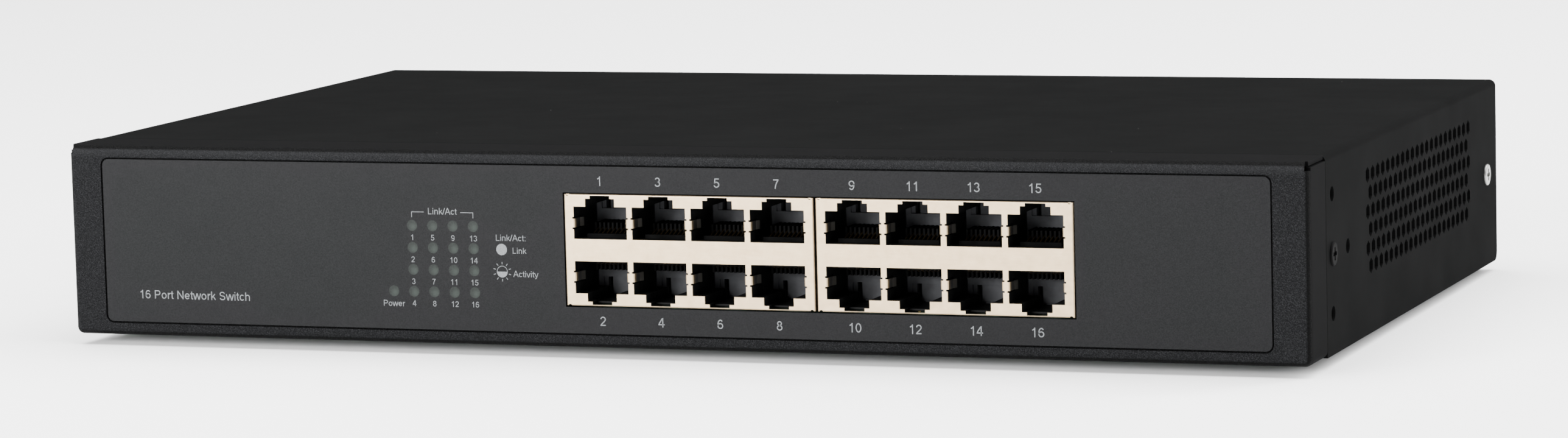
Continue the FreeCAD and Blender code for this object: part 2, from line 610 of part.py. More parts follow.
def jack_shield(name, side):
    """The folded skin of one jack block, with spring fingers at both sides of every port."""
    body = block_body(name, side)
    left = "(-dims.block_width / 2)"
    bottom = "(-dims.block_height / 2)"
    pad(body, "front", 0, "dims.block_depth",
        rectangle(left, bottom, "dims.block_width", "dims.block_height"))
    fillet(body, "dims.shield_bend", lambda box: near(box.YMin, 0) and near(box.YMax, 0))
    inner_width = "(dims.block_width - 2 * dims.shield_thick)"
    pocket(body, "top", bottom, "dims.block_height - dims.shield_thick",
           rectangle(f"{left} + dims.shield_thick", "dims.shield_thick", inner_width,
                     "dims.block_depth - 2 * dims.shield_thick"))
    for flip in (1, -1):
        opening = pocket(body, "front", 0, "dims.shield_thick",
                         port_outline(FIRST_PORT, flip, "dims.port_half_width", 0, True))
        repeat(body, opening, PORT_ROW)
    for flip in (1, -1):
        low = "dims.finger_low" if flip > 0 else "-dims.finger_high"
        fingers = pad(body, "top", low, "dims.finger_high - dims.finger_low",
                      finger_outline(1), finger_outline(-1))
        repeat(body, fingers, PORT_ROW)
    notches = pocket(body, "front", 0, "dims.shield_thick",
                     *[disc(f"{sign} * (dims.block_width / 2 - 2 * dims.seam_notch_radius)", up,
                            "dims.seam_notch_radius")
                       for sign in (-1, 1) for up in (bottom, f"-{bottom}")])
    notches.Label = f"{name}_seam_notches"
    return body


def finger_outline(hand):
    """A spring finger from above: a round bend, a leg going back and a tip that turns inwards."""
    inner = [("dims.port_half_width", 0), ("dims.finger_bend_gap", "dims.finger_bend_back"),
             ("dims.finger_leg_gap", "dims.finger_leg_back"),
             ("dims.finger_knee_gap", "dims.finger_knee_back"),
             ("dims.finger_tip_gap", "dims.finger_length")]
    outer = [(f"{across} + dims.shield_thick", back) for across, back in inner]
    outer.insert(1, ("dims.port_half_width + dims.shield_thick", "dims.shield_thick"))
    corners = inner + outer[::-1]
    return outline([(f"{FIRST_PORT} + {hand} * ({across})", back) for across, back in corners])


def jack_housing(name, side):
    """The plastic block inside a shield, with a stepped cavity for each plug."""
    body = block_body(name, side)
    wall = "(dims.shield_thick + dims.housing_gap)"
    left = f"(-dims.block_width / 2 + {wall})"
    bottom = f"(-dims.block_height / 2 + {wall})"
    pad(body, "front", "dims.shield_thick + dims.housing_gap / 2",
        "dims.block_depth - 2 * dims.shield_thick - dims.housing_gap",
        rectangle(left, bottom, f"-2 * {left}", f"-2 * {bottom}"))
    for flip in (1, -1):
        cavity = pocket(body, "front", 0, "dims.cavity_depth",
                        port_outline(FIRST_PORT, flip, "dims.cavity_half_width",
                                     "dims.cavity_margin", False))
        repeat(body, cavity, PORT_ROW)
    recess_width = "(2 * dims.finger_recess_half)"
    recess_height = "(dims.finger_high - dims.finger_low + 2 * dims.finger_recess_margin)"
    for flip in (1, -1):
        middle = f"({flip} * (dims.finger_high + dims.finger_low) / 2)"
        recess = pocket(body, "front", 0, "dims.finger_recess_depth",
                        rectangle(f"{FIRST_PORT} - dims.finger_recess_half",
                                  f"{middle} - {recess_height} / 2", recess_width, recess_height))
        repeat(body, recess, PORT_ROW)
    for flip in (1, -1):
        edge = "dims.cavity_ceiling" if flip > 0 else bottom
        keyway = pocket(body, "front", 0, "dims.keyway_depth",
                        rectangle(f"{FIRST_PORT} - dims.keyway_half_width", edge,
                                  "2 * dims.keyway_half_width", f"-{bottom} - dims.cavity_ceiling"))
        repeat(body, keyway, PORT_ROW)

    # Behind each cavity: a shallow step in its wall, and an upright slot beside the latch
    height = "(dims.latch_ceiling - dims.shelf_low)"
    steps = [("-dims.shelf_half_width", "2 * dims.shelf_half_width", "dims.cavity_depth",
              "dims.shelf_depth"),
             ("(dims.keyslot_across - dims.keyslot_width / 2)", "dims.keyslot_width",
              "dims.cavity_depth + dims.shelf_depth", "dims.keyslot_depth")]
    for left_edge, width, start, depth in steps:
        for flip in (1, -1):
            bottom_edge = "dims.shelf_low" if flip > 0 else "-dims.latch_ceiling"
            step = pocket(body, "front", start, depth,
                          rectangle(f"{FIRST_PORT} + {left_edge}", bottom_edge, width, height))
            repeat(body, step, PORT_ROW)
    return body


def contact_carrier(name, side):
    """For each port a slotted comb and a bar over the roots of its wires, then the solder tails."""
    body = block_body(name, side)
    floor = "(dims.port_floor - dims.cavity_margin)"
    mirror = ("mirror", "XY_Plane")
    base = pad(body, "top", floor, "dims.comb_base_thick",
               rectangle(f"{FIRST_PORT} - dims.comb_base_width / 2", "dims.root_bar_front",
                         "dims.comb_base_width",
                         "dims.comb_front + dims.comb_length - dims.root_bar_front"))
    repeat(body, base, PORT_ROW, mirror)
    root_bar = pad(body, "top", floor, "dims.root_bar_height",
                   rectangle(f"{FIRST_PORT} - dims.comb_base_width / 2", "dims.root_bar_front",
                             "dims.comb_base_width", "dims.root_bar_depth"))
    repeat(body, root_bar, PORT_ROW, mirror)
    teeth = WIRES_PER_PORT + 1
    first_tooth = f"({FIRST_PORT} - {WIRES_PER_PORT / 2} * dims.wire_pitch - dims.tooth_thick / 2)"
    tooth = pad(body, "top", floor, "dims.comb_height",
                rectangle(first_tooth, "dims.comb_front", "dims.tooth_thick", "dims.comb_length"))
    repeat(body, tooth, ("X_Axis", "dims.wire_pitch", teeth), PORT_ROW, mirror)
    tail_top = "(-dims.block_height / 2 + dims.shield_thick + dims.housing_gap)"
    tail = pad(body, "top", f"{tail_top} - dims.tail_length", "dims.tail_length",
               rectangle(f"{FIRST_PORT} - 1.5 * dims.tail_pitch_across - dims.tail_thick / 2",
                         "dims.tail_first_back", "dims.tail_thick", "dims.tail_thick"))
    repeat(body, tail, ("X_Axis", "dims.tail_pitch_across", 4), ("Y_Axis", "dims.tail_pitch", 4),
           PORT_ROW)
    return body


def port_contacts(number):
    """The eight spring wires of one port; odd ports are in the upper row."""
    column = (number - 1) // 2
    flip = 1 if number % 2 else -1
    side = column // PORTS_PER_BLOCK_ROW
    place_in_block = column % PORTS_PER_BLOCK_ROW - (PORTS_PER_BLOCK_ROW - 1) / 2
    body = new_body(f"port_{number:02d}_contacts")
    middle = f"dims.blocks_middle + {side - 0.5} * {BLOCK_STEP} + {place_in_block} * dims.port_pitch"
    place(body, middle, FRONT, MIDDLE)
    half = "dims.wire_thick / 2"
    knees = [("dims.wire_root_back", "dims.wire_root_lift"), ("dims.wire_top_back", "dims.wire_top_lift"),
             ("dims.wire_tip_back", "dims.wire_tip_lift")]
    upper = [(back, f"{flip} * (dims.port_floor + {lift} + {half})") for back, lift in knees]
    lower = [(back, f"{flip} * (dims.port_floor + {lift} - {half})") for back, lift in reversed(knees)]
    first_wire = f"{(1 - WIRES_PER_PORT) / 2} * dims.wire_pitch - {half}"
    wire = pad(body, "side", first_wire, "dims.wire_thick", outline(upper + lower))
    repeat(body, wire, ("X_Axis", "dims.wire_pitch", WIRES_PER_PORT))
    return body


# ---------------------------------------------------------------- boards


def circuit_board(name, edge, spots):
    """A bare board with a clearance hole over each standoff."""
    left, right, front, back = [f"dims.{edge}_{part}" for part in ("left", "right", "front", "back")]
    body = new_body(name)
    bottom = f"({FLOOR} + dims.standoff_height)"
    pad(body, "top", bottom, "dims.board_thick",
        rectangle(left, front, f"{right} - {left}", f"{back} - {front}"))
    pocket(body, "top", bottom, "dims.board_thick",
           *[disc(x, y, "dims.board_hole_radius") for x, y in spots])
    return body


def board_standoffs():
    """Threaded pillars under both boards."""
    pieces = []
    for number, (x, y) in enumerate(MAIN_STANDOFFS + POWER_STANDOFFS, start=1):
        pillar = rod(f"pillar_{number}", x, y, FLOOR, "dims.standoff_radius", "dims.standoff_height")
        bore = rod(f"pillar_bore_{number}", x, y, FLOOR, "dims.thread_radius", "dims.standoff_height")
        pieces.append(cut(f"standoff_{number}", pillar, bore))
    return group("board_standoffs", pieces)


def screw(name, x, y, z, direction, size, washer=False):
    """A cross-head machine screw whose head stands on a surface facing the given direction."""
    body = new_body(name)
    body.Placement.Rotation = FreeCAD.Rotation(Z_AXIS, direction)
    place(body, x, y, z)
    lift = "dims.washer_thick" if washer else "0"
    height = f"dims.{size}_head_height"
    pad(body, "top", lift, height, disc(0, 0, f"dims.{size}_head_radius"))
    head_top = DIMENSIONS[f"{size}_head_height"] + (DIMENSIONS["washer_thick"] if washer else 0)
    fillet(body, f"dims.{size}_head_rounding",
           lambda box: near(box.ZMin, head_top) and near(box.ZMax, head_top))
    shank = f"dims.{size}_shank_length"
    pad(body, "top", f"-{shank}", f"{shank} + {lift}", disc(0, 0, "dims.thread_radius"))
    if washer:
        pad(body, "top", 0, "dims.washer_thick", disc(0, 0, "dims.washer_radius"))
    long, wide = "dims.cross_long", "dims.cross_wide"
    corners = [(long, wide), (wide, wide), (wide, long)]
    cross = []
    for across, up in ((1, 1), (-1, 1), (-1, -1), (1, -1)):
        arm = [(f"{across} * {x}", f"{up} * {y}") for x, y in corners]
        cross += arm if across * up > 0 else arm[::-1]
    pocket(body, "top", f"{lift} + {height} - dims.{size}_cross_depth", f"dims.{size}_cross_depth",
           outline(cross))
    return body


def side_screws(name, back):
    """A pair of screws through the cover's sides."""
    sides = [(RIGHT, X_AXIS, "right"), (LEFT, -X_AXIS, "left")]
    return group(name, [screw(f"{name}_{hand}", x, f"{FRONT} + {back}", MIDDLE, direction, "side")
                        for x, direction, hand in sides])


def board_screws():
    """Screws that hold both boards on their standoffs."""
    pieces = []
    for number, (x, y) in enumerate(MAIN_STANDOFFS + POWER_STANDOFFS, start=1):
        pieces.append(screw(f"board_screw_{number}", x, y, BOARD_TOP, Z_AXIS, "small"))
    return group("board_screws", pieces)


def insulating_film():
    """Film on the floor under the power board, with holes round its standoffs."""
    body = new_body("insulating_film")
    margin = "dims.film_margin"
    pad(body, "top", FLOOR, "dims.film_thick",
        rectangle(f"dims.power_left - {margin}", f"dims.power_front - {margin}",
                  f"dims.power_right - dims.power_left + 2 * {margin}",
                  f"dims.power_back - dims.power_front + 2 * {margin}"))
    pocket(body, "top", FLOOR, "dims.film_thick",
           *[disc(x, y, "dims.standoff_radius + dims.fit_gap") for x, y in POWER_STANDOFFS])
    return body


# ---------------------------------------------------------------- main board pieces


def chip_heatsink():
    """A finned block glued on the switch chip."""
    body = new_body("chip_heatsink")
    x, y = SWITCH_CHIP
    bottom = f"({BOARD_TOP} + dims.chip_height)"
    left = f"({x} - dims.sink_side / 2)"
    front = f"({y} - dims.sink_side / 2)"
    pad(body, "top", bottom, "dims.sink_base",
        rectangle(left, front, "dims.sink_side", "dims.sink_side"))
    fin = pad(body, "top", bottom, "dims.sink_height",
              rectangle(left, front, "dims.fin_thick", "dims.sink_side"))
    repeat(body, fin, ("X_Axis", "dims.fin_pitch", 9))
    return body


def board_blocks(name, spots, length, width, height):
    """Equal flat parts standing on the board."""
    pieces = [centred_block(f"{name}_{number}", x, y, BOARD_TOP, length, width, height)
              for number, (x, y) in enumerate(spots, start=1)]
    return group(name, pieces)


def port_transformers():
    """A transformer pack behind every column of ports."""
    pieces = []
    for column in range(PORTS_PER_ROW):
        side = column // PORTS_PER_BLOCK_ROW
        spot = column % PORTS_PER_BLOCK_ROW - (PORTS_PER_BLOCK_ROW - 1) / 2
        x = f"(dims.blocks_middle + {side - 0.5} * {BLOCK_STEP} + {spot} * dims.port_pitch)"
        y = f"({FRONT} + dims.block_depth + dims.magnetics_depth)"
        pieces.append(centred_block(f"port_transformer_{column + 1}", x, y, BOARD_TOP,
                                    "dims.magnetics_length", "dims.magnetics_depth",
                                    "dims.magnetics_height"))
    return group("port_transformers", pieces)


def can(name, x, y, radius, height):
    """An electrolytic capacitor: a can with a rolled neck near its base."""
    lower = rod(f"{name}_foot", x, y, BOARD_TOP, radius, f"{height} * 0.1")
    neck = rod(f"{name}_neck", x, y, f"{BOARD_TOP} + {height} * 0.1", f"{radius} * 0.9",
               f"{height} * 0.08")
    upper = rod(f"{name}_can", x, y, f"{BOARD_TOP} + {height} * 0.18", radius, f"{height} * 0.82")
    return fuse(name, [lower, neck, upper])


def cans(name, spots, radius, height):
    return group(name, [can(f"{name}_{number}", x, y, radius, height)
                        for number, (x, y) in enumerate(spots, start=1)])


def board_coils():
    """Square power coils with a round winding showing on top."""
    pieces = []
    for number, (x, y) in enumerate(BOARD_COILS, start=1):
        cube = centred_block(f"coil_core_{number}", x, y, BOARD_TOP, "dims.coil_side",
                             "dims.coil_side", "dims.coil_height")
        post = rod(f"coil_post_{number}", x, y, f"{BOARD_TOP} + dims.coil_height",
                   "dims.coil_post_radius", "dims.coil_post_height")
        pieces.append(fuse(f"board_coil_{number}", [cube, post]))
    return group("board_coils", pieces)


def small_chips():
    """Memory, clock crystal, regulator and monitor chips."""
    pieces = [centred_block(f"small_chip_{number}", x, y, BOARD_TOP, length, width, height)
              for number, (x, y, length, width, height) in enumerate(SMALL_CHIPS, start=1)]
    return group("small_chips", pieces)


def wire_headers():
    """Connectors for the mains leads and both ends of the low-voltage leads."""
    pieces = []
    for number, (x, y) in enumerate((MAINS_HEADER, SUPPLY_HEADER, BOARD_HEADER), start=1):
        pieces.append(centred_block(f"wire_header_{number}", x, y, BOARD_TOP, "dims.header_length",
                                    "dims.header_depth", "dims.header_height"))
    return group("wire_headers", pieces)


# ---------------------------------------------------------------- power board pieces


def power_transformer():
    """A window core with a round winding on its middle leg."""
    x, y = CORE_SPOT
    core = centred_block("core_outside", x, y, BOARD_TOP, "dims.core_length", "dims.core_depth",
                         "dims.core_height")
    window = centred_block("core_window", x, y, f"{BOARD_TOP} + dims.core_leg",
                           "dims.core_length - 2 * dims.core_leg", "dims.core_depth",
                           "dims.core_height - 2 * dims.core_leg")
    frame = cut("core_frame", core, window)
    lift = f"({BOARD_TOP} + (dims.core_height - dims.winding_height) / 2)"
    leg = rod("core_winding", x, y, lift, "dims.winding_radius", "dims.winding_height")
    return labelled("power_transformer", fuse("power_transformer", [frame, leg]))


def line_choke():
    """A wound ring on a small plastic base."""
    x, y = CHOKE_SPOT
    ring = doc.addObject("Part::Torus", "choke_ring")
    place(ring, x, y, f"{BOARD_TOP} + dims.choke_base + dims.choke_wire_radius - 0.3")
    bind(ring, {"Radius1": "dims.choke_radius", "Radius2": "dims.choke_wire_radius"})
    base = rod("choke_foot", x, y, BOARD_TOP, "dims.choke_radius + 2", "dims.choke_base")
    return labelled("line_choke", fuse("line_choke", [ring, base]))


def power_heatsink():
    """An L of aluminium standing on the power board."""
    x, y = PLATE_SPOT
    front = f"{y} - dims.plate_length / 2"
    plate = block("plate_upright", x, front, BOARD_TOP, "dims.plate_thick", "dims.plate_length",
                  "dims.plate_height")
    foot = block("plate_lip", f"{x}", front, f"{BOARD_TOP} + dims.plate_height - dims.plate_thick",
                 "dims.plate_foot", "dims.plate_length", "dims.plate_thick")
    return labelled("power_heatsink", fuse("power_heatsink", [plate, foot]))


def fuse_link():
    """A glass fuse with metal end caps, held in two clips."""
    x, y = FUSE_SPOT
    z = f"{BOARD_TOP} + dims.fuse_lift"
    front = f"({y} - dims.fuse_length / 2)"
    glass = rod("fuse_glass", x, front, z, "dims.fuse_radius", "dims.fuse_length", Y_AXIS)
    pieces = [glass]
    for number, shift in enumerate(("0", "dims.fuse_length - dims.fuse_cap_length"), start=1):
        pieces.append(rod(f"fuse_cap_{number}", x, f"{front} + {shift}", z, "dims.fuse_cap_radius",
                          "dims.fuse_cap_length", Y_AXIS))
        pieces.append(block(f"fuse_clip_{number}", f"{x} - dims.fuse_cap_radius / 2",
                            f"{front} + {shift}", BOARD_TOP, "dims.fuse_cap_radius",
                            "dims.fuse_cap_length", "dims.fuse_lift"))
    return labelled("line_fuse", fuse("line_fuse", pieces))


# ---------------------------------------------------------------- mains inlet


def mains_inlet():
    """A three-pin appliance inlet: a flange outside the rear wall and a shrouded socket."""
    body = new_body("mains_inlet")
    place(body, "dims.inlet_middle", BACK, MIDDLE)
    pad(body, "front", 0, "dims.inlet_flange_thick",
        rectangle("-dims.inlet_flange_width / 2", "-dims.inlet_flange_height / 2",
                  "dims.inlet_flange_width", "dims.inlet_flange_height"))
    fillet(body, "dims.inlet_flange_radius",
           lambda box: near(box.XMin, box.XMax) and near(box.ZMin, box.ZMax))
    pad(body, "front", "-dims.inlet_depth", "dims.inlet_depth",
        rectangle("-dims.inlet_width / 2", "-dims.inlet_height / 2", "dims.inlet_width",
                  "dims.inlet_height"))
    half, rise, cut_back = "dims.socket_width / 2", "dims.socket_height / 2", "dims.socket_cut"
    pocket(body, "front", "dims.inlet_flange_thick - dims.socket_depth", "dims.socket_depth",
           outline([(f"-{half}", f"-{rise}"), (half, f"-{rise}"), (half, f"{rise} - {cut_back}"),
                    (f"{half} - {cut_back}", rise), (f"-{half} + {cut_back}", rise),
                    (f"-{half}", f"{rise} - {cut_back}")]))
    pocket(body, "front", "-dims.inlet_depth", "dims.inlet_depth",
           *[rectangle(f"{x} - dims.pin_width / 2", f"{z} - dims.pin_height / 2", "dims.pin_width",
                       "dims.pin_height") for x, z in pin_spots()])
    pocket(body, "front", 0, "dims.inlet_flange_thick",
           disc("-dims.inlet_screw_spread / 2", 0, "dims.screw_hole_radius"),
           disc("dims.inlet_screw_spread / 2", 0, "dims.screw_hole_radius"))
    return body


def pin_spots():
    """The three pins from the middle of the inlet: live and neutral below, earth above."""
    return [("-dims.pin_spread / 2", "-dims.pin_offset"), ("dims.pin_spread / 2", "-dims.pin_offset"),
            ("0", "dims.pin_offset")]


def inlet_pins():
    """Flat pins that run through the inlet's back wall and end as solder tags."""
    body = new_body("inlet_pins")
    place(body, "dims.inlet_middle", BACK, MIDDLE)
    pad(body, "front", "-dims.inlet_depth - dims.pin_tail",
        "dims.inlet_depth + dims.pin_tail + dims.inlet_flange_thick - dims.socket_depth"
        " + dims.pin_length",
        *[rectangle(f"{x} - dims.pin_width / 2", f"{z} - dims.pin_height / 2", "dims.pin_width",
                    "dims.pin_height") for x, z in pin_spots()])
    return body


def inlet_screws():
    """The two screws that hold the inlet's flange on the rear wall."""
    y = f"{BACK} + dims.inlet_flange_thick"
    return group("inlet_screws", [screw(f"inlet_screw_{hand}", f"dims.inlet_middle + {sign} * dims."
                                        "inlet_screw_spread / 2", y, MIDDLE, Y_AXIS, "small")
                                  for hand, sign in (("left", -1), ("right", 1))])


# ---------------------------------------------------------------- leads


def tube(name, points, radius):
    """A round lead along straight runs joined by tangent arcs, as large as the runs allow."""
    points = [FreeCAD.Vector(*point) for point in points]
    edges = []
    start = points[0]
    for before, corner, after in zip(points, points[1:], points[2:]):
        into = corner - before
        out = after - corner
        half_turn = into.getAngle(out) / 2
        reach = 0.45 * min(into.Length, out.Length)
        print(f"{name}: bend radius {reach / math.tan(half_turn):.1f} mm")
        into.normalize()
        out.normalize()
        arc_start = corner - into * reach
        arc_end = corner + out * reach
        bisector = out - into
        bisector.normalize()
        centre = corner + bisector * (reach / math.sin(half_turn))
        arc_middle = centre - bisector * (reach / math.tan(half_turn))
        edges.append(Part.LineSegment(start, arc_start).toShape())
        edges.append(Part.Arc(arc_start, arc_middle, arc_end).toShape())
        start = arc_end
    edges.append(Part.LineSegment(start, points[-1]).toShape())
    length = sum(edge.Length for edge in edges)
    path = Part.Wire(edges)
    section = Part.Wire([Part.Circle(points[0], points[1] - points[0], radius).toShape()])
    shape = path.makePipeShell([section], True, False)
    expected = math.pi * radius ** 2 * length
    if abs(shape.Volume - expected) > 0.02 * expected:
        raise ValueError(f"{name} has volume {shape.Volume:.1f}, not {expected:.1f}")
    lead = doc.addObject("Part::Feature", name)
    lead.Shape = shape
    return lead


def leads(name, routes):
    """Leads that share one node."""
    return group(name, [tube(f"{name}_{number}", route, sheet.lead_radius)
                        for number, route in enumerate(routes, start=1)])


def mains_leads():
    """Live and neutral, from the inlet's tags to the mains header."""
    back = sheet.case_depth / 2 - sheet.inlet_depth - sheet.pin_tail
    middle = sheet.foot_height + sheet.case_height / 2 - sheet.pin_offset
    board = sheet.foot_height + sheet.sheet_thick + sheet.standoff_height + sheet.board_thick
    landing = board + sheet.header_height
    header_x, header_y = MAINS_HEADER
    routes = []
    for hand in (-1, 1):
        tag_x = sheet.inlet_middle + hand * sheet.pin_spread / 2
        land_x = header_x + hand * 2
        routes.append([(tag_x, back, middle), (tag_x, back - 4, middle),
                       ((tag_x + land_x) / 2, header_y + 4, middle + 3.5),
                       (land_x, header_y, middle + 1.5), (land_x, header_y, landing)])
    return leads("mains_leads", routes)


def earth_lead():
    """The earth wire from the inlet's upper tag to a ring lug under the bonding screw."""
    back = sheet.case_depth / 2 - sheet.inlet_depth - sheet.pin_tail
    middle = sheet.foot_height + sheet.case_height / 2
    high = middle + sheet.pin_offset
    lug_x = -sheet.bond_left
    lug_front = sheet.case_depth / 2 - sheet.sheet_thick - sheet.lug_thick
    landing = lug_front - sheet.lead_radius
    route = [(sheet.inlet_middle, back, high), (sheet.inlet_middle, back - 5, high),
             (sheet.inlet_middle + 10, back - 9, high + 6), (lug_x - 26, back - 3, high + 6),
             (lug_x - 18, back + 12, high + 2), (lug_x - 12, landing - 1, middle),
             (lug_x - 2, landing, middle)]
    wire = tube("earth_wire", route, sheet.lead_radius)
    ring = rod("lug_ring", "-dims.bond_left", lug_front, MIDDLE, "dims.lug_radius", "dims.lug_thick",
               Y_AXIS)
    hole = rod("lug_hole", "-dims.bond_left", lug_front, MIDDLE, "dims.thread_radius",
               "dims.lug_thick", Y_AXIS)
    return group("earth_lead", [wire, cut("earth_lug", ring, hole)])


def low_voltage_leads():
    """Supply and return, from the power board to the main board."""
    board = sheet.foot_height + sheet.sheet_thick + sheet.standoff_height + sheet.board_thick
    landing = board + sheet.header_height
    routes = []
    for hand in (-1, 1):
        start_x, start_y = SUPPLY_HEADER[0], SUPPLY_HEADER[1] + hand * 1.5
        end_x, end_y = BOARD_HEADER[0], BOARD_HEADER[1] + hand * 1.5
        routes.append([(start_x, start_y, landing), (start_x, start_y, landing + 7),
                       (start_x + 8, (start_y + end_y) / 2, landing + 10),
                       (end_x - 7, (start_y + end_y) / 2, landing + 9),
                       (end_x, end_y, landing + 6), (end_x, end_y, landing)])
    return leads("low_voltage_leads", routes)


# ---------------------------------------------------------------- feet


def rubber_feet():
    """Four stick-on feet, each seated in its recess."""
    pieces = []
    for number, (x, y) in enumerate(foot_spots(), start=1):
        foot = new_body(f"rubber_foot_{number}")
        place(foot, x, y, 0)
        pad(foot, "top", 0, "dims.foot_height + dims.foot_recess", disc(0, 0, "dims.foot_radius"))
        fillet(foot, "dims.foot_rounding", lambda box: near(box.ZMin, 0) and near(box.ZMax, 0))
        pieces.append(foot)
    return group("rubber_feet", pieces)


# ---------------------------------------------------------------- assembly

parts = [
    chassis_tray(),
    top_cover(),
    front_overlay(),
    indicator_windows(),
    indicator_holders(),
    indicator_leds(),
    side_screws("front_cover_screws", "dims.rack_row_back"),
    side_screws("rear_cover_screws", "dims.rear_screw_back"),
]
for side, hand in enumerate(("left", "right")):
    parts.append(jack_shield(f"jack_shield_{hand}", side))
    parts.append(jack_housing(f"jack_housing_{hand}", side))
    parts.append(contact_carrier(f"contact_carrier_{hand}", side))
for number in range(1, 2 * PORTS_PER_ROW + 1):
    parts.append(port_contacts(number))
parts += [
    circuit_board("main_board", "board", MAIN_STANDOFFS),
    board_blocks("switch_chip", [SWITCH_CHIP], "dims.chip_side", "dims.chip_side", "dims.chip_height"),
    chip_heatsink(),
    board_blocks("port_driver_chips", DRIVER_CHIPS, "dims.driver_side", "dims.driver_side",
                 "dims.driver_height"),
    port_transformers(),
    cans("board_capacitors", BOARD_CANS, "dims.can_radius", "dims.can_height"),
    board_coils(),
    small_chips(),
    circuit_board("power_board", "power", POWER_STANDOFFS),
    power_transformer(),
    cans("bulk_capacitor", [BULK_SPOT], "dims.bulk_radius", "dims.bulk_height"),
    cans("output_capacitors", OUTPUT_CANS, "dims.output_can_radius", "dims.output_can_height"),
    board_blocks("line_capacitor", [FILM_CAP_SPOT], "dims.film_cap_length", "dims.film_cap_depth",
                 "dims.film_cap_height"),
    line_choke(),
    labelled("bridge_rectifier",
             centred_block("bridge_rectifier", BRIDGE_SPOT[0], BRIDGE_SPOT[1],
                           f"{BOARD_TOP} + dims.bridge_lift", "dims.bridge_length",
                           "dims.bridge_depth", "dims.bridge_height")),
    power_heatsink(),
    labelled("power_transistor",
             block("power_transistor", f"{PLATE_SPOT[0]} - dims.transistor_thick",
                   f"{PLATE_SPOT[1]} - dims.transistor_width / 2",
                   f"{BOARD_TOP} + dims.transistor_lift", "dims.transistor_thick",
                   "dims.transistor_width", "dims.transistor_height")),
    fuse_link(),
    wire_headers(),
    insulating_film(),
    mains_inlet(),
    inlet_pins(),
    inlet_screws(),
    mains_leads(),
    earth_lead(),
    low_voltage_leads(),
    board_standoffs(),
    board_screws(),
    labelled("bonding_screw", screw("bonding_screw", "-dims.bond_left", BACK, MIDDLE, Y_AXIS, "small",
                                    washer=True)),
    rubber_feet(),
]
doc.recompute()

# A failed feature raises nothing by itself, so every object is checked before anything is written.
for item in doc.Objects:
    if "Invalid" in item.State or "Error" in item.State:
        raise RuntimeError(f"{item.Label} failed: {item.State}")
    if item.TypeId in ("PartDesign::Pad", "PartDesign::Pocket") and item.BaseFeature:
        change = item.Shape.Volume - item.BaseFeature.Shape.Volume
        if (change <= 0) == (item.TypeId == "PartDesign::Pad"):
            raise RuntimeError(f"{item.Label} changed nothing: {change}")
for item in parts:
    if item.Shape.isNull() or not item.Shape.isValid():
        raise RuntimeError(f"{item.Label} has no valid shape")

os.makedirs("parts", exist_ok=True)
for item in parts:
    item.Shape.exportStep(f"parts/{item.Label}.step")
print(f"{len(parts)} sub-parts written")
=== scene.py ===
import bmesh
import bpy
import json
import math
from mathutils import Euler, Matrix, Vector


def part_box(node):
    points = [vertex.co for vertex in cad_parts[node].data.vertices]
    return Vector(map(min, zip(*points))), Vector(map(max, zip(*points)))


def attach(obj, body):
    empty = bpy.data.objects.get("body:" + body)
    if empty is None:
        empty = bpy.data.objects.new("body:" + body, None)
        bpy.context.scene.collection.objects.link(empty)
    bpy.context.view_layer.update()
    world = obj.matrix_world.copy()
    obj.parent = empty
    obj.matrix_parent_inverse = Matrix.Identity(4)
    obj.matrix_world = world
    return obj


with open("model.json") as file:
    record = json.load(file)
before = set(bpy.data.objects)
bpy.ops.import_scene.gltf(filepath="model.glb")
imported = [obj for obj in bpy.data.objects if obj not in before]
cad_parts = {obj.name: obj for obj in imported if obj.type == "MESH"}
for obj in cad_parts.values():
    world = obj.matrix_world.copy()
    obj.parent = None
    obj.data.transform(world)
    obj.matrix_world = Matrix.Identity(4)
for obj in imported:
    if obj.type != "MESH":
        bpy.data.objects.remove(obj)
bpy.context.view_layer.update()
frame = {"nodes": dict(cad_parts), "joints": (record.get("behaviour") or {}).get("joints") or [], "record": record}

# ---------------------------------------------------------------- places, all in metres

MM = 0.001
CASE_LOW, CASE_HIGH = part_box("chassis_tray")
OVERLAY_LOW, OVERLAY_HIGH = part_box("front_overlay")
WINDOWS_LOW, WINDOWS_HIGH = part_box("indicator_windows")
FRONT_Y = CASE_LOW.y
FILM_Y = OVERLAY_LOW.y
MIDDLE_Z = (CASE_LOW.z + CASE_HIGH.z) / 2
WINDOW_RADIUS = 1.25 * MM
WINDOW_PITCH = 4.98 * MM
INK_THICK = 0.02 * MM
INK_SINK = 0.005 * MM

WINDOW_COLUMNS = [WINDOWS_HIGH.x - WINDOW_RADIUS - WINDOW_PITCH * n for n in (3, 2, 1, 0)]
WINDOW_ROW_STEP = (WINDOWS_HIGH.z - WINDOWS_LOW.z - 2 * WINDOW_RADIUS) / 3
WINDOW_ROWS = [WINDOWS_HIGH.z - WINDOW_RADIUS - WINDOW_ROW_STEP * n for n in range(4)]
POWER_X = WINDOWS_LOW.x + WINDOW_RADIUS
PORT_X = {joint["name"][5:7]: joint["pos_m"][0] for joint in frame["joints"]}


# ---------------------------------------------------------------- studio

CAMERA_PLACE = (0.43217, -1.18327, 0.17343)
CAMERA_TURN_DEGREES = (83.0944, 1.4651, 20.0937)
CAMERA_LENS_MM = 122.77
SENSOR_WIDTH_MM = 36.0


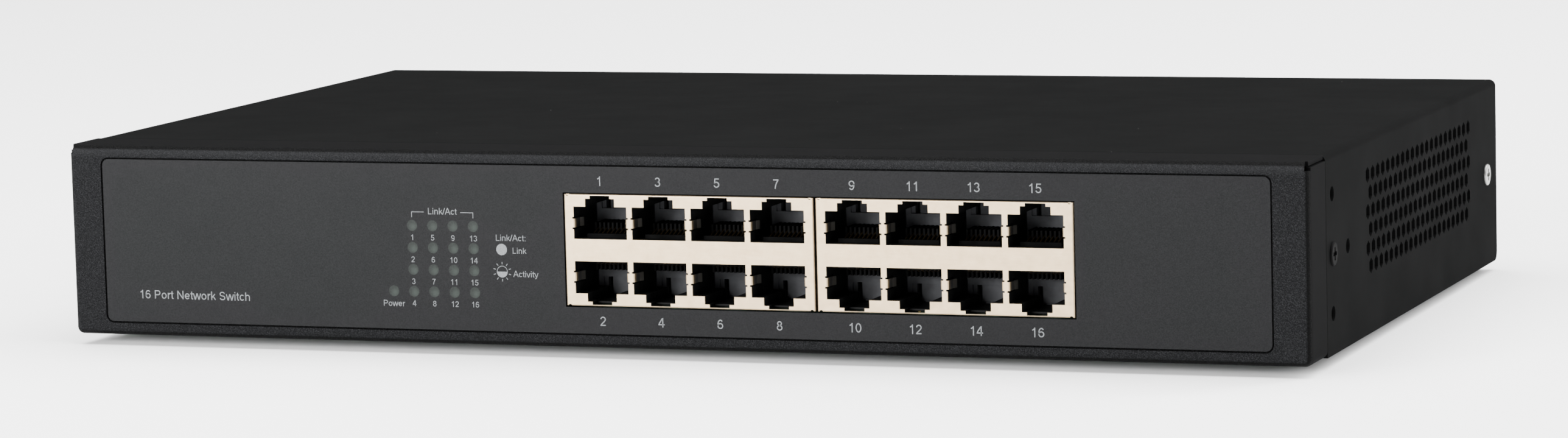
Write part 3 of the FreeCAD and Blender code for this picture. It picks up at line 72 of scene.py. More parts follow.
def make_camera():
    """Slightly above the case and to its right, with a long lens."""
    data = bpy.data.cameras.new("camera")
    data.lens = CAMERA_LENS_MM
    data.sensor_width = SENSOR_WIDTH_MM
    data.clip_start = 0.05
    data.clip_end = 20
    camera = bpy.data.objects.new("camera", data)
    camera.location = CAMERA_PLACE
    turn = [math.radians(angle) for angle in CAMERA_TURN_DEGREES]
    camera.rotation_euler = Euler(turn, "XYZ")
    bpy.context.scene.collection.objects.link(camera)
    bpy.context.scene.camera = camera


def area_light(name, place, target, width, height, power):
    """A soft rectangular lamp that faces a point."""
    data = bpy.data.lights.new(name, "AREA")
    data.shape = "RECTANGLE"
    data.size = width
    data.size_y = height
    data.energy = power
    lamp = bpy.data.objects.new(name, data)
    lamp.location = place
    lamp.rotation_euler = (Vector(target) - Vector(place)).to_track_quat("-Z", "Y").to_euler()
    bpy.context.scene.collection.objects.link(lamp)


def make_world(strength):
    world = bpy.data.worlds.new("studio")
    world.use_nodes = True
    background = world.node_tree.nodes["Background"]
    background.inputs["Color"].default_value = (1.0, 1.0, 1.0, 1)
    background.inputs["Strength"].default_value = strength
    bpy.context.scene.world = world


def make_floor():
    """A pale floor that curves up into a backdrop."""
    mesh = bpy.data.meshes.new("floor")
    build = bmesh.new()
    half_width, front, back, rise, radius, steps = 8.0, -8.0, 8.0, 3.0, 1.2, 12
    profile = [(front, 0.0), (back, 0.0)]
    for number in range(1, steps + 1):
        angle = math.pi / 2 * number / steps
        profile.append((back + radius * math.sin(angle), radius * (1 - math.cos(angle))))
    profile.append((back + radius, rise))
    rows = [[build.verts.new((x, y, z)) for x in (-half_width, half_width)] for y, z in profile]
    for low, high in zip(rows, rows[1:]):
        build.faces.new((low[0], low[1], high[1], high[0]))
    build.to_mesh(mesh)
    build.free()
    for face in mesh.polygons:
        face.use_smooth = True
    floor = bpy.data.objects.new("floor", mesh)
    bpy.context.scene.collection.objects.link(floor)
    floor.data.materials.append(floor_material())


# ---------------------------------------------------------------- material helpers


class Finish:
    """A material with one Principled shader and short ways to add pattern nodes to it."""

    def __init__(self, name, color, roughness, metallic=0.0, **sockets):
        self.material = bpy.data.materials.new(name)
        self.material.use_nodes = True
        self.tree = self.material.node_tree
        self.shader = self.tree.nodes["Principled BSDF"]
        self.shader.inputs["Base Color"].default_value = (*color, 1)
        self.shader.inputs["Roughness"].default_value = roughness
        self.shader.inputs["Metallic"].default_value = metallic
        for socket, value in sockets.items():
            self.shader.inputs[socket.replace("_", " ")].default_value = value
        self.coordinates = self.node("ShaderNodeTexCoord").outputs["Object"]
        self.normal = None

    def node(self, kind, **settings):
        made = self.tree.nodes.new(kind)
        for name, value in settings.items():
            setattr(made, name, value)
        return made

    def feed(self, socket, value):
        """Gives a socket a link or a plain number."""
        if isinstance(value, bpy.types.NodeSocket):
            self.tree.links.new(value, socket)
        else:
            socket.default_value = value

    def noise(self, size, detail=2.0, roughness=0.5, distortion=0.0, stretch=(1, 1, 1), turn=0.0):
        """Soft cloudy noise, 0 to 1, whose features are about size metres across.

        Stretch lengthens the features along each axis, after a turn about Y.
        """
        source = self.coordinates
        if stretch != (1, 1, 1):
            mapping = self.node("ShaderNodeMapping", vector_type="TEXTURE")
            mapping.inputs["Rotation"].default_value = (0, turn, 0)
            mapping.inputs["Scale"].default_value = stretch
            self.feed(mapping.inputs["Vector"], source)
            source = mapping.outputs["Vector"]
        made = self.node("ShaderNodeTexNoise")
        self.feed(made.inputs["Vector"], source)
        made.inputs["Scale"].default_value = 1 / size
        made.inputs["Detail"].default_value = detail
        made.inputs["Roughness"].default_value = roughness
        made.inputs["Distortion"].default_value = distortion
        return made.outputs["Fac"]

    def cells(self, size, output="Distance"):
        """Voronoi cells about size metres across."""
        made = self.node("ShaderNodeTexVoronoi", feature="F1")
        self.feed(made.inputs["Vector"], self.coordinates)
        made.inputs["Scale"].default_value = 1 / size
        return made.outputs[output]

    def remap(self, value, low, high, to_low=0.0, to_high=1.0, smooth=False):
        """Stretches low..high of a value to a new range, and clamps it there."""
        made = self.node("ShaderNodeMapRange")
        if smooth:
            made.interpolation_type = "SMOOTHSTEP"
        self.feed(made.inputs["Value"], value)
        for name, number in (("From Min", low), ("From Max", high), ("To Min", to_low),
                             ("To Max", to_high)):
            made.inputs[name].default_value = number
        return made.outputs["Result"]

    def math(self, operation, first, second=0.0):
        made = self.node("ShaderNodeMath", operation=operation)
        self.feed(made.inputs[0], first)
        self.feed(made.inputs[1], second)
        return made.outputs["Value"]

    def mix(self, factor, first, second):
        """Blends two colours, each a tuple or a link."""
        made = self.node("ShaderNodeMix", data_type="RGBA")
        self.feed(made.inputs["Factor"], factor)
        for socket, value in (("A_Color", first), ("B_Color", second)):
            target = [item for item in made.inputs if item.identifier == socket][0]
            self.feed(target, (*value, 1) if isinstance(value, tuple) else value)
        return [item for item in made.outputs if item.identifier == "Result_Color"][0]

    def place(self, axis):
        """One coordinate of the point, in metres."""
        split = self.node("ShaderNodeSeparateXYZ")
        self.feed(split.inputs["Vector"], self.coordinates)
        return split.outputs[axis]

    def color(self, value):
        self.feed(self.shader.inputs["Base Color"], value)

    def roughness(self, value):
        self.feed(self.shader.inputs["Roughness"], value)

    def bump(self, height, distance, strength=1.0):
        """Adds relief whose full height is distance metres; calls stack."""
        made = self.node("ShaderNodeBump")
        made.inputs["Distance"].default_value = distance
        self.feed(made.inputs["Strength"], strength)
        self.feed(made.inputs["Height"], height)
        if self.normal is not None:
            self.feed(made.inputs["Normal"], self.normal)
        self.normal = made.outputs["Normal"]
        self.feed(self.shader.inputs["Normal"], self.normal)


# ---------------------------------------------------------------- materials


def floor_material():
    finish = Finish("floor_white", (0.9, 0.9, 0.9), 0.75)
    tone = finish.remap(finish.noise(0.4), 0.3, 0.7)
    finish.color(finish.mix(tone, (0.9, 0.9, 0.9), (0.92, 0.92, 0.92)))
    return finish.material


def dust(finish, spacing, radius, share):
    """Sparse pale specks of dust: a mask that is 1 on a speck."""
    distance = finish.cells(spacing)
    chance = finish.node("ShaderNodeSeparateColor")
    finish.feed(chance.inputs["Color"], finish.cells(spacing, output="Color"))
    chosen = finish.remap(chance.outputs["Red"], share, share + 0.001, 1.0, 0.0)
    speck = finish.remap(distance, radius / spacing * 0.7, radius / spacing, 1.0, 0.0)
    return finish.math("MULTIPLY", speck, chosen)


def case_paint():
    """Black powder coat: a coarse wrinkle on the front face, smooth matte everywhere else; painted light and shade
    on its wrinkle crests, top bend, front bend and front returns.
    """
    finish = Finish("case_paint", (0.006, 0.006, 0.0065), 0.5, Specular_IOR_Level=0.03)
    depth = finish.math("SUBTRACT", finish.place("Y"), FRONT_Y)
    front = finish.remap(depth, 0.9 * MM, 1.5 * MM, 1.0, 0.0, True)
    # A strip just behind the front face, where the sheet bends back, is painted near black: painted shade on the
    # bend.
    fold_painted_shade = finish.math("MULTIPLY", finish.remap(depth, 0.05 * MM, 0.3 * MM, 0.0, 1.0, True),
                       finish.remap(depth, 1.0 * MM, 1.6 * MM, 1.0, 0.0, True))
    wrinkle = finish.noise(0.2 * MM, 1.0, 0.5, 0.8, (1.7, 1, 1), math.radians(35))
    # The wrinkle crests are painted lighter than the hollows: a painted highlight on the crests and painted shade
    # in the hollows.
    crest_painted_highlight = finish.remap(wrinkle, 0.44, 0.6)
    coarse = finish.mix(crest_painted_highlight, (0.0033, 0.0034, 0.0037), (0.0106, 0.0108, 0.0116))
    # The front face is painted lighter over its top 3 mm, towards the bend: a painted highlight on the bend.
    top_edge_painted_highlight = finish.remap(finish.place("Z"), CASE_HIGH.z - 3 * MM, CASE_HIGH.z - 1.6 * MM, 0.0, 0.3)
    coarse = finish.mix(top_edge_painted_highlight, coarse, (0.017, 0.0173, 0.0182))
    smooth = finish.mix(finish.remap(finish.noise(6 * MM), 0.3, 0.7),
                        (0.0012, 0.0012, 0.0013), (0.0016, 0.0016, 0.0017))
    # The smooth paint is painted several times darker within 20 mm of the front than past 40 mm: painted shade on
    # the front returns, the same paint given lit and shaded copies.
    rear = finish.remap(depth, 20 * MM, 40 * MM)
    smooth = finish.mix(rear, smooth, (0.0065, 0.0066, 0.0067))
    painted = finish.mix(front, smooth, coarse)
    finish.color(finish.mix(finish.math("MULTIPLY", fold_painted_shade, 0.92), painted, (0.0006, 0.0006, 0.0006)))
    finish.roughness(finish.remap(front, 0, 1, 0.9, 0.5))
    finish.bump(wrinkle, 0.45 * MM, finish.remap(front, 0, 1, 0.0, 1.0))
    finish.bump(finish.noise(2 * MM, 2.0), 0.02 * MM, 0.3)
    return finish.material


def cover_paint():
    """Smooth matte black paint with a few specks of dust on it."""
    finish = Finish("cover_paint", (0.02, 0.02, 0.02), 0.75, Specular_IOR_Level=0.005)
    cloud = finish.remap(finish.noise(30 * MM, 3.0), 0.3, 0.7)
    base = finish.mix(cloud, (0.0034, 0.0035, 0.0035), (0.0041, 0.0042, 0.0042))
    grain = finish.noise(0.22 * MM, 2.0, 0.6)
    base = finish.mix(finish.remap(grain, 0.3, 0.75, 0.0, 0.2), base, (0.0058, 0.0058, 0.0058))
    specks = finish.math("MAXIMUM", dust(finish, 9 * MM, 0.12 * MM, 0.4),
                         dust(finish, 21 * MM, 0.2 * MM, 0.5))
    finish.color(finish.mix(specks, base, (0.2, 0.2, 0.195)))
    finish.roughness(finish.remap(finish.noise(12 * MM, 3.0), 0.3, 0.7, 0.72, 0.8))
    finish.bump(grain, 0.015 * MM, 0.5)
    return finish.material


def overlay_film():
    """Fine-grained dark blue-grey film."""
    finish = Finish("overlay_film", (0.06, 0.063, 0.069), 0.5, Specular_IOR_Level=0.05)
    grain = finish.noise(0.22 * MM, 2.5, 0.6, 0.3)
    tone = finish.remap(grain, 0.36, 0.68)
    finish.color(finish.mix(tone, (0.0026, 0.0027, 0.003), (0.0064, 0.0065, 0.007)))
    finish.roughness(finish.remap(finish.noise(8 * MM), 0.3, 0.7, 0.42, 0.47))
    finish.bump(grain, 0.03 * MM, 0.6)
    return finish.material


def legend_ink():
    """Light grey screen print."""
    finish = Finish("legend_ink", (0.11, 0.115, 0.12), 0.6, Specular_IOR_Level=0.1)
    tone = finish.remap(finish.noise(0.25 * MM, 2.0), 0.3, 0.7)
    finish.color(finish.mix(tone, (0.09, 0.0945, 0.0985), (0.122, 0.1275, 0.133)))
    finish.bump(finish.noise(0.2 * MM), 0.004 * MM, 0.4)
    return finish.material


def indicator_lens():
    """Frosted grey-green windows with a painted glow, brighter low on their right; the glow is painted into the
    colour.
    """
    finish = Finish("indicator_lens", (0.03, 0.036, 0.033), 0.42, Specular_IOR_Level=0.05)
    across = finish.math("SUBTRACT", finish.place("X"), WINDOW_COLUMNS[0] + 0.3 * MM)
    up = finish.math("SUBTRACT", finish.place("Z"), WINDOW_ROWS[0] - 0.3 * MM)
    across = finish.math("PINGPONG", across, WINDOW_PITCH / 2)
    up = finish.math("PINGPONG", up, WINDOW_ROW_STEP / 2)
    distance = finish.math("SQRT", finish.math("ADD", finish.math("POWER", across, 2.0),
                                               finish.math("POWER", up, 2.0)))
    # Each window is painted brighter low on its right: a painted glow, not light from a lamp.
    painted_glow = finish.remap(distance, 0.1 * MM, 1.3 * MM, 1.0, 0.0, True)
    base = finish.mix(painted_glow, (0.0088, 0.0104, 0.0095), (0.0165, 0.0205, 0.0182))
    grain = finish.remap(finish.noise(0.2 * MM, 2.0), 0.4, 0.7, 0.0, 0.4)
    finish.color(finish.mix(grain, base, (0.021, 0.0252, 0.0228)))
    finish.bump(finish.noise(0.25 * MM, 2.0), 0.01 * MM, 0.5)
    return finish.material


def nickel_shield():
    """Warm satin nickel, faintly mottled and rolled along the sheet; painted dull grey inside the jacks as painted
    shade.
    """
    finish = Finish("nickel_shield", (0.37, 0.287, 0.185), 0.36, 1.0)
    mottle = finish.remap(finish.noise(2.2 * MM, 4.0, 0.6), 0.3, 0.7)
    rolled = finish.remap(finish.noise(0.5 * MM, 2.0, 0.5, stretch=(8, 1, 1)), 0.3, 0.7)
    base = finish.mix(mottle, (0.31, 0.235, 0.143), (0.375, 0.288, 0.18))
    plated = finish.mix(finish.math("MULTIPLY", rolled, 0.3), base, (0.265, 0.197, 0.116))
    depth = finish.math("SUBTRACT", finish.place("Y"), FRONT_Y)
    # Past 0.5 to 1.2 mm behind the front the nickel is painted dull grey: painted shade inside the jacks.
    inside_painted_shade = finish.remap(depth, 0.5 * MM, 1.2 * MM, 0.0, 1.0, True)
    finish.color(finish.mix(inside_painted_shade, plated, (0.12, 0.115, 0.105)))
    finish.roughness(finish.remap(mottle, 0, 1, 0.33, 0.42))
    finish.bump(finish.noise(0.16 * MM, 2.0), 0.004 * MM, 0.5)
    return finish.material


def moulded_plastic(name, color, roughness, grain_size=0.35 * MM, shine=0.25):
    """Moulded plastic with a fine grain and slightly uneven gloss."""
    finish = Finish(name, color, roughness, Specular_IOR_Level=shine)
    cloud = finish.remap(finish.noise(5 * MM, 3.0), 0.3, 0.7)
    lighter = tuple(min(1.0, channel * 1.3 + 0.002) for channel in color)
    finish.color(finish.mix(cloud, color, lighter))
    finish.roughness(finish.remap(cloud, 0, 1, roughness - 0.04, roughness + 0.06))
    finish.bump(finish.noise(grain_size, 2.0), 0.012 * MM, 0.5)
    return finish.material


def jack_plastic():
    """Black moulded nylon, darkest at the mouth of a cavity; the wall at its back is painted greyer, a painted
    pool of light.
    """
    finish = Finish("black_plastic", (0.01, 0.01, 0.0105), 0.5, Specular_IOR_Level=0.05)
    depth = finish.math("SUBTRACT", finish.place("Y"), FRONT_Y)
    wall_near, wall_full, wall_end, wall_past = 13.2 * MM, 13.9 * MM, 15.5 * MM, 16.5 * MM
    # This mask picks out the wall at the back of each cavity, which is painted greyer: painted light, not a
    # lighter plastic.
    back = finish.math("MULTIPLY", finish.remap(depth, wall_near, wall_full, 0.0, 1.0, True),
                       finish.remap(depth, wall_end, wall_past, 1.0, 0.0, True))
    cloud = finish.remap(finish.noise(2.5 * MM, 3.0), 0.3, 0.7)
    painted_lit_back_wall = finish.mix(cloud, (0.038, 0.0386, 0.0412), (0.056, 0.057, 0.061))
    finish.color(finish.mix(back, (0.003, 0.003, 0.003), painted_lit_back_wall))
    finish.roughness(finish.remap(cloud, 0, 1, 0.46, 0.56))
    finish.bump(finish.noise(0.35 * MM, 2.0), 0.012 * MM, 0.5)
    return finish.material


def metal(name, color, roughness, streak=(1, 1, 10), streak_size=0.4 * MM):
    """Bare metal with fine streaks along one direction and a cloudy bloom."""
    finish = Finish(name, color, roughness, 1.0)
    streaks = finish.noise(streak_size, 2.0, 0.5, stretch=streak)
    cloud = finish.remap(finish.noise(4 * MM, 3.0), 0.3, 0.7)
    darker = tuple(channel * 0.82 for channel in color)
    finish.color(finish.mix(cloud, darker, color))
    finish.roughness(finish.remap(streaks, 0.3, 0.7, roughness - 0.06, roughness + 0.08))
    finish.bump(streaks, 0.006 * MM, 0.5)
    return finish.material


def circuit_board():
    """Dark green mask over copper: paler where tracks run, with rows of plated vias."""
    finish = Finish("circuit_board", (0.002, 0.012, 0.006), 0.5, Specular_IOR_Level=0.1)
    tracks = finish.node("ShaderNodeTexBrick")
    finish.feed(tracks.inputs["Vector"], finish.coordinates)
    tracks.inputs["Scale"].default_value = 60
    tracks.inputs["Mortar Size"].default_value = 0.03
    tracks.inputs["Color1"].default_value = (0.001, 0.006, 0.003, 1)
    tracks.inputs["Color2"].default_value = (0.0014, 0.0075, 0.004, 1)
    tracks.inputs["Mortar"].default_value = (0.003, 0.014, 0.007, 1)
    vias = finish.remap(finish.cells(2.5 * MM), 0.12, 0.16, 1.0, 0.0)
    finish.color(finish.mix(vias, tracks.outputs["Color"], (0.45, 0.33, 0.12)))
    finish.bump(tracks.outputs["Fac"], 0.03 * MM, 0.6)
    return finish.material


def fuse_glass():
    """Clear glass with a faint ripple."""
    finish = Finish("fuse_glass", (0.9, 0.92, 0.9), 0.08, Transmission_Weight=0.9, IOR=1.47)
    finish.bump(finish.noise(3 * MM, 2.0), 0.03 * MM, 0.4)
    return finish.material


def clear_film():
    """Milky insulating film."""
    finish = Finish("clear_film", (0.62, 0.62, 0.58), 0.35)
    cloud = finish.remap(finish.noise(8 * MM, 3.0), 0.3, 0.7)
    finish.color(finish.mix(cloud, (0.56, 0.56, 0.52), (0.66, 0.66, 0.62)))
    finish.bump(finish.noise(4 * MM), 0.05 * MM, 0.3)
    return finish.material


def earth_sleeve():
    """Green sleeve with a yellow stripe."""
    finish = Finish("earth_sleeve", (0.06, 0.28, 0.04), 0.45)
    wave = finish.node("ShaderNodeTexWave", wave_type="BANDS", bands_direction="DIAGONAL")
    finish.feed(wave.inputs["Vector"], finish.coordinates)
    wave.inputs["Scale"].default_value = 130
    stripe = finish.remap(wave.outputs["Fac"], 0.62, 0.7)
    finish.color(finish.mix(stripe, (0.05, 0.25, 0.04), (0.72, 0.6, 0.03)))
    finish.bump(finish.noise(0.4 * MM), 0.02 * MM, 0.4)
    return finish.material


# ---------------------------------------------------------------- printed legends


def bend(x, z, across, up, start, end, steps=14):
    """Points along part of an ellipse, from one angle to the other, in degrees."""
    angles = [math.radians(start + (end - start) * number / steps) for number in range(steps + 1)]
    return [(x + across * math.cos(angle), z + up * math.sin(angle)) for angle in angles]


def ring(x, z, across, up):
    return bend(x, z, across, up, 0, 360, 28)


# Plain sans letters for capitals of height 1: the advance, then the centre lines of the strokes.
# A stroke whose ends meet is closed.
STROKE = 0.115
NINE = [[(0.77 - x, 1 - z) for x, z in line]
        for line in (ring(0.385, 0.32, 0.262, 0.257), bend(0.4, 0.5, 0.272, 0.437, 42, 200))]
GLYPHS = {
    " ": (0.39, []),
    "/": (0.39, [[(0.01, -0.01), (0.375, 1.01)]]),
    ":": (0.39, [[(0.19, 0), (0.19, 0.14)], [(0.19, 0.585), (0.19, 0.725)]]),
    "0": (0.777, [ring(0.385, 0.5, 0.262, 0.437)]),
    "1": (0.777, [[(0.46, 0), (0.46, 1)], [(0.4, 0.87), (0.32, 0.79), (0.19, 0.725)]]),
    "2": (0.777, [bend(0.385, 0.7, 0.25, 0.237, 175, -25) + [(0.5, 0.45), (0.27, 0.25),
                                                             (0.16, 0.13)],
                  [(0.07, 0.0625), (0.66, 0.0625)]]),
    "3": (0.777, [bend(0.37, 0.72, 0.225, 0.217, 165, -80), bend(0.37, 0.29, 0.26, 0.228, 88, -168)]),
    "4": (0.777, [[(0.53, 0), (0.53, 1)], [(0.47, 0.93), (0.1, 0.36)], [(0.04, 0.29), (0.73, 0.29)]]),
    "5": (0.777, [[(0.66, 0.9375), (0.22, 0.9375), (0.16, 0.47)],
                  bend(0.37, 0.33, 0.27, 0.2675, 138, -165)]),
    "6": (0.777, [[(0.77 - x, 1 - z) for x, z in line] for line in NINE]),
    "7": (0.777, [[(0.08, 0.9375), (0.68, 0.9375)],
                  [(0.61, 0.88), (0.48, 0.68), (0.37, 0.42), (0.31, 0.2), (0.285, 0)]]),
    "8": (0.777, [ring(0.385, 0.735, 0.21, 0.2025), ring(0.385, 0.29, 0.255, 0.2275)]),
    "9": (0.777, NINE),
    "A": (0.932, [[(0.06, 0), (0.43, 0.965), (0.5, 0.965), (0.87, 0)], [(0.25, 0.36), (0.68, 0.36)]]),
    "L": (0.777, [[(0.165, 0), (0.165, 1)], [(0.2275, 0.0625), (0.7, 0.0625)]]),
    "N": (1.008, [[(0.17, 0), (0.17, 1)], [(0.84, 0), (0.84, 1)], [(0.2, 0.93), (0.81, 0.07)]]),
    "P": (0.932, [[(0.17, 0), (0.17, 1)],
                  [(0.2325, 0.9375)] + bend(0.53, 0.7, 0.25, 0.2375, 90, -90) + [(0.2325, 0.4625)]]),
    "S": (0.932, [bend(0.46, 0.72, 0.285, 0.2175, 12, 235) + bend(0.47, 0.28, 0.305, 0.2175, 55, -168)]),
    "c": (0.698, [bend(0.375, 0.3625, 0.255, 0.3, 42, 318)]),
    "e": (0.777, [[(0.1825, 0.36), (0.66, 0.36)], bend(0.385, 0.3625, 0.265, 0.3, 12, 325)]),
    "h": (0.777, [[(0.155, 0), (0.155, 1)], bend(0.4, 0.45, 0.225, 0.2125, 158, 0) + [(0.625, 0)]]),
    "i": (0.31, [[(0.155, 0), (0.155, 0.725)], [(0.155, 0.86), (0.155, 1)]]),
    "k": (0.698, [[(0.155, 0), (0.155, 1)], [(0.22, 0.3), (0.58, 0.7)], [(0.36, 0.43), (0.64, 0.02)]]),
    "n": (0.777, [[(0.155, 0), (0.155, 0.725)], bend(0.4, 0.45, 0.225, 0.2125, 158, 0) + [(0.625, 0)]]),
    "o": (0.777, [ring(0.385, 0.3625, 0.265, 0.3)]),
    "r": (0.465, [[(0.155, 0), (0.155, 0.725)], [(0.22, 0.48), (0.27, 0.6), (0.35, 0.655), (0.46, 0.65)]]),
    "t": (0.388, [[(0.19, 0.92), (0.19, 0.17), (0.23, 0.075), (0.36, 0.06)],
                  [(0.03, 0.6625), (0.1275, 0.6625)], [(0.2525, 0.6625), (0.36, 0.6625)]]),
    "v": (0.698, [[(0.05, 0.725), (0.32, 0.035), (0.38, 0.035), (0.65, 0.725)]]),
    "w": (1.008, [[(0.04, 0.725), (0.24, 0.04), (0.29, 0.04), (0.48, 0.68), (0.53, 0.68),
                   (0.72, 0.04), (0.77, 0.04), (0.97, 0.725)]]),
    "y": (0.698, [[(0.05, 0.725), (0.33, 0.06)],
                  [(0.65, 0.725), (0.35, -0.08), (0.27, -0.19), (0.1, -0.21)]]),
}


class Print:
    """Flat ink shapes on the overlay, gathered into one mesh; x is across and z is up."""

    def __init__(self, name):
        self.name = name
        self.build = bmesh.new()

    def corners(self, outline):
        """The front and back vertices of an outline."""
        return [[self.build.verts.new((x, y, z)) for x, z in outline]
                for y in (FILM_Y - INK_THICK, FILM_Y + INK_SINK)]

    def slab(self, outline):
        """A thin closed prism on an outline that runs anticlockwise seen from the front."""
        front, back = self.corners(outline)
        self.build.faces.new(front)
        self.build.faces.new(back[::-1])
        for number, vertex in enumerate(front):
            before = number - 1
            self.build.faces.new((vertex, front[before], back[before], back[number]))

    def ribbon(self, line, width):
        """A flat stroke along a centre line, mitred at its bends."""
        closed = math.dist(line[0], line[-1]) < width / 100
        points = [Vector(point) for point in (line[:-1] if closed else line)]
        count = len(points)
        left, right = [], []
        for number, point in enumerate(points):
            before = points[number - 1] if closed or number else point
            after = points[(number + 1) % count] if closed or number < count - 1 else point
            into = (point - before).normalized() if before != point else (after - point).normalized()
            out = (after - point).normalized() if after != point else into
            along = (into + out).normalized()
            side = Vector((-along.y, along.x)) * width / 2 / max(along.dot(into), 0.6)
            left.append(tuple(point + side))
            right.append(tuple(point - side))
        left_front, left_back = self.corners(left)
        right_front, right_back = self.corners(right)
        for number in range(count if closed else count - 1):
            following = (number + 1) % count
            for first, second in ((right_front, left_front), (left_front, left_back),
                                  (left_back, right_back), (right_back, right_front)):
                self.build.faces.new((first[number], first[following], second[following],
                                      second[number]))
        if not closed:
            for number, turn in ((0, 1), (count - 1, -1)):
                cap = (right_front[number], left_front[number], left_back[number], right_back[number])
                self.build.faces.new(cap[::turn])

    def text(self, words, x, baseline, cap_height, align=0.5):
        """Lettering whose capitals are cap_height tall; align 0 starts at x and 0.5 is centred."""
        pen = x - align * cap_height * sum(GLYPHS[letter][0] for letter in words)
        for letter in words:
            advance, strokes = GLYPHS[letter]
            for stroke in strokes:
                line = [(pen + across * cap_height, baseline + up * cap_height)
                        for across, up in stroke]
                self.ribbon(line, STROKE * cap_height)
            pen += advance * cap_height

    def finish(self, material):
        bmesh.ops.recalc_face_normals(self.build, faces=self.build.faces)
        mesh = bpy.data.meshes.new(self.name)
        self.build.to_mesh(mesh)
        self.build.free()
        mesh.materials.append(material)
        piece = bpy.data.objects.new(self.name, mesh)
        bpy.context.scene.collection.objects.link(piece)
        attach(piece, "case")


def print_port_numbers(ink):
    """Odd numbers over the upper row of ports and even numbers under the lower row."""
    numbers = Print("port_numbers")
    cap = 2.1 * MM
    odd_rise, even_drop = 15.5 * MM, -15.9 * MM
    for label, x in PORT_X.items():
        number = int(label)
        middle = MIDDLE_Z + (odd_rise if number % 2 else even_drop)
        numbers.text(str(number), x, middle - cap / 2, cap)
    numbers.finish(ink)


def print_indicator_legends(ink):
    """Numbers under the round windows, their bracket and its title."""
    legends = Print("indicator_legends")
    cap = 1.3 * MM
    number_drop = 2.7 * MM
    power_drop, power_cap = 3.47 * MM, 1.36 * MM
    title_cap = 1.45 * MM
    for column, x in enumerate(WINDOW_COLUMNS):
        for row, z in enumerate(WINDOW_ROWS):
            legends.text(str(4 * column + row + 1), x, z - number_drop - cap / 2, cap)
    legends.text("Power", POWER_X - 0.1 * MM, WINDOW_ROWS[-1] - power_drop, power_cap)

    top = WINDOW_ROWS[0] + 3.1 * MM
    drop = 1.22 * MM
    line = 0.15 * MM
    left, right = WINDOW_COLUMNS[0], WINDOW_COLUMNS[-1] + 0.08 * MM
    legends.ribbon([(left, top - drop), (left, top), (left + 3.0 * MM, top)], line)
    legends.ribbon([(right, top - drop), (right, top), (right - 3.05 * MM, top)], line)
    legends.text("Link/Act", (left + right) / 2, top - 0.5 * MM, title_cap)
    legends.finish(ink)


def print_key(ink):
    """The key beside the windows: a full disc for link, a shining half disc for activity."""
    key = Print("indicator_key")
    symbol_x = WINDOW_COLUMNS[-1] + 6.83 * MM
    words_x = symbol_x + 2.65 * MM
    title_z, disc_z, sun_z = [WINDOW_ROWS[0] + drop * MM for drop in (-3.1, -5.05, -10.05)]
    key.text("Link/Act:", symbol_x - 1.45 * MM, title_z, 1.4 * MM, 0)
    key.slab(ring(symbol_x, disc_z, 1.3 * MM, 1.3 * MM)[:-1])
    key.text("Link", words_x - 0.1 * MM, disc_z - 0.88 * MM, 1.35 * MM, 0)
    radius, line = 1.32 * MM, 0.13 * MM
    middle = radius - line / 2
    key.ribbon(bend(symbol_x, sun_z, middle, middle, 0, 180, 24), line)
    key.slab(bend(symbol_x, sun_z, radius, radius, 180, 360, 24))
    near, far = 1.66 * MM, 2.2 * MM
    for number in range(10):
        angle = math.pi / 2 + math.pi * number / 5
        across, up = math.cos(angle), math.sin(angle)
        key.ribbon([(symbol_x + reach * across, sun_z + reach * up) for reach in (near, far)],
                   0.16 * MM)
    key.text("Activity", words_x, sun_z - 1.15 * MM, 1.38 * MM, 0)
    key.finish(ink)


def print_title(ink):
    """The plain description at the lower left of the film."""
    title = Print("panel_title")
    title.text("16 Port Network Switch", OVERLAY_LOW.x + 8.2 * MM, OVERLAY_LOW.z + 5.45 * MM,
               1.95 * MM, 0)
    title.finish(ink)


# ---------------------------------------------------------------- assembly

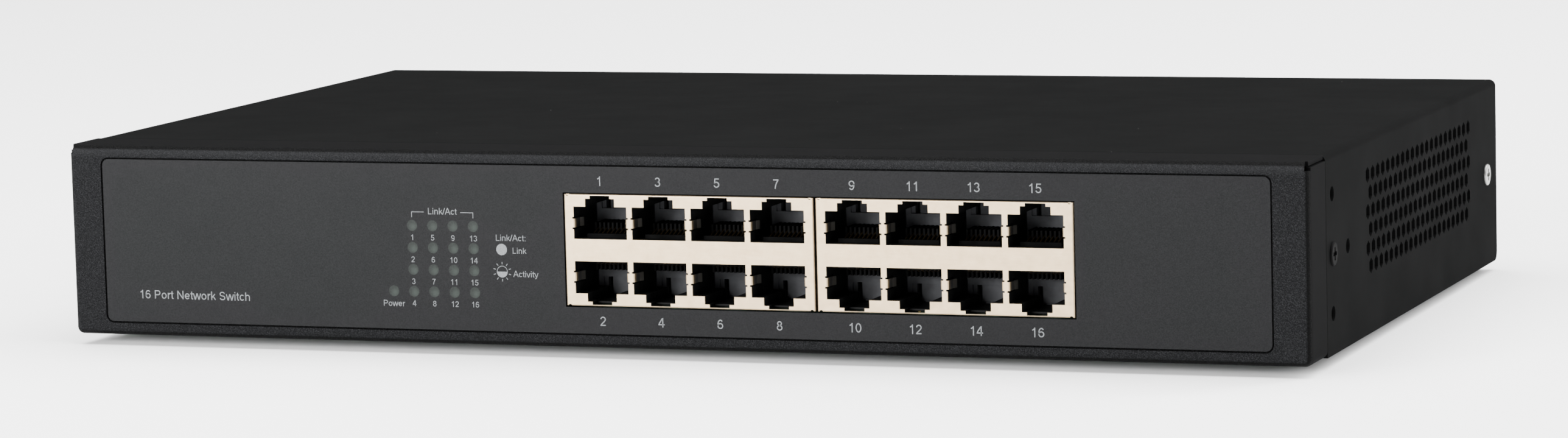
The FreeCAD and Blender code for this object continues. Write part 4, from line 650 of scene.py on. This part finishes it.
SHARED_FINISHES = {
    "case_paint": case_paint(),
    "cover_paint": cover_paint(),
    "overlay_film": overlay_film(),
    "indicator_lens": indicator_lens(),
    "nickel_shield": nickel_shield(),
    "black_plastic": jack_plastic(),
    # The comb plastic is near black, darker than the jack body: partly its own black and partly painted shade
    # where it sits in shadow inside the jacks.
    "contact_plastic": moulded_plastic("contact_plastic", (0.001, 0.001, 0.001), 0.6, shine=0.01),
    "black_screw": moulded_plastic("black_screw", (0.0022, 0.0022, 0.0022), 0.7, 0.2 * MM, 0.02),
    "bright_screw": metal("bright_screw", (0.30, 0.30, 0.29), 0.36),
    # The gold contacts are given a dark bronze colour: painted shade for contacts that sit in shadow inside the
    # jacks.
    "gold_contact": metal("gold_contact", (0.10, 0.07, 0.035), 0.4, (1, 10, 1), 0.1 * MM),
    "pin_metal": metal("pin_metal", (0.75, 0.74, 0.70), 0.3, (1, 10, 1)),
    "circuit_board": circuit_board(),
    "chip_plastic": moulded_plastic("chip_plastic", (0.016, 0.016, 0.017), 0.5),
    "bare_aluminium": metal("bare_aluminium", (0.78, 0.79, 0.80), 0.35, (1, 10, 1)),
    "capacitor_sleeve": moulded_plastic("capacitor_sleeve", (0.015, 0.02, 0.06), 0.3),
    "coil_ferrite": moulded_plastic("coil_ferrite", (0.06, 0.055, 0.055), 0.55),
    "transformer_tape": moulded_plastic("transformer_tape", (0.55, 0.4, 0.05), 0.4),
    "film_capacitor": moulded_plastic("film_capacitor", (0.5, 0.42, 0.06), 0.45),
    "fuse_glass": fuse_glass(),
    "clear_film": clear_film(),
    "lead_sleeve": moulded_plastic("lead_sleeve", (0.015, 0.015, 0.015), 0.45),
    "earth_sleeve": earth_sleeve(),
    "brass_pillar": metal("brass_pillar", (0.72, 0.53, 0.25), 0.32),
    "foot_rubber": moulded_plastic("foot_rubber", (0.02, 0.02, 0.02), 0.75, 0.2 * MM),
}

for subpart in frame["record"]["subparts"]:
    node = frame["nodes"][subpart["node"]]
    node.data.materials.clear()
    node.data.materials.append(SHARED_FINISHES[subpart["material_slot"]])

ink = legend_ink()
print_port_numbers(ink)
print_indicator_legends(ink)
print_key(ink)
print_title(ink)

make_camera()
make_floor()
make_world(0.4)
area_light("key_softbox", (-0.41, -1.95, 0.5), (0.03, -0.09, 0.02), 0.5, 0.5, 32)
area_light("left_softbox", (-0.5, -0.97, 0.26), (-0.02, -0.09, 0.02), 0.45, 0.4, 28)
area_light("top_softbox", (0, 0.1, 2.2), (0, 0, 0), 3.2, 2.6, 285)
area_light("rear_softbox", (1.5, 1.5, 1.5), (0, 0.09, 0.02), 0.8, 0.8, 60)
area_light("right_softbox", (2.0, -0.2, 0.9), (0.15, 0, 0.02), 1.0, 1.0, 50)
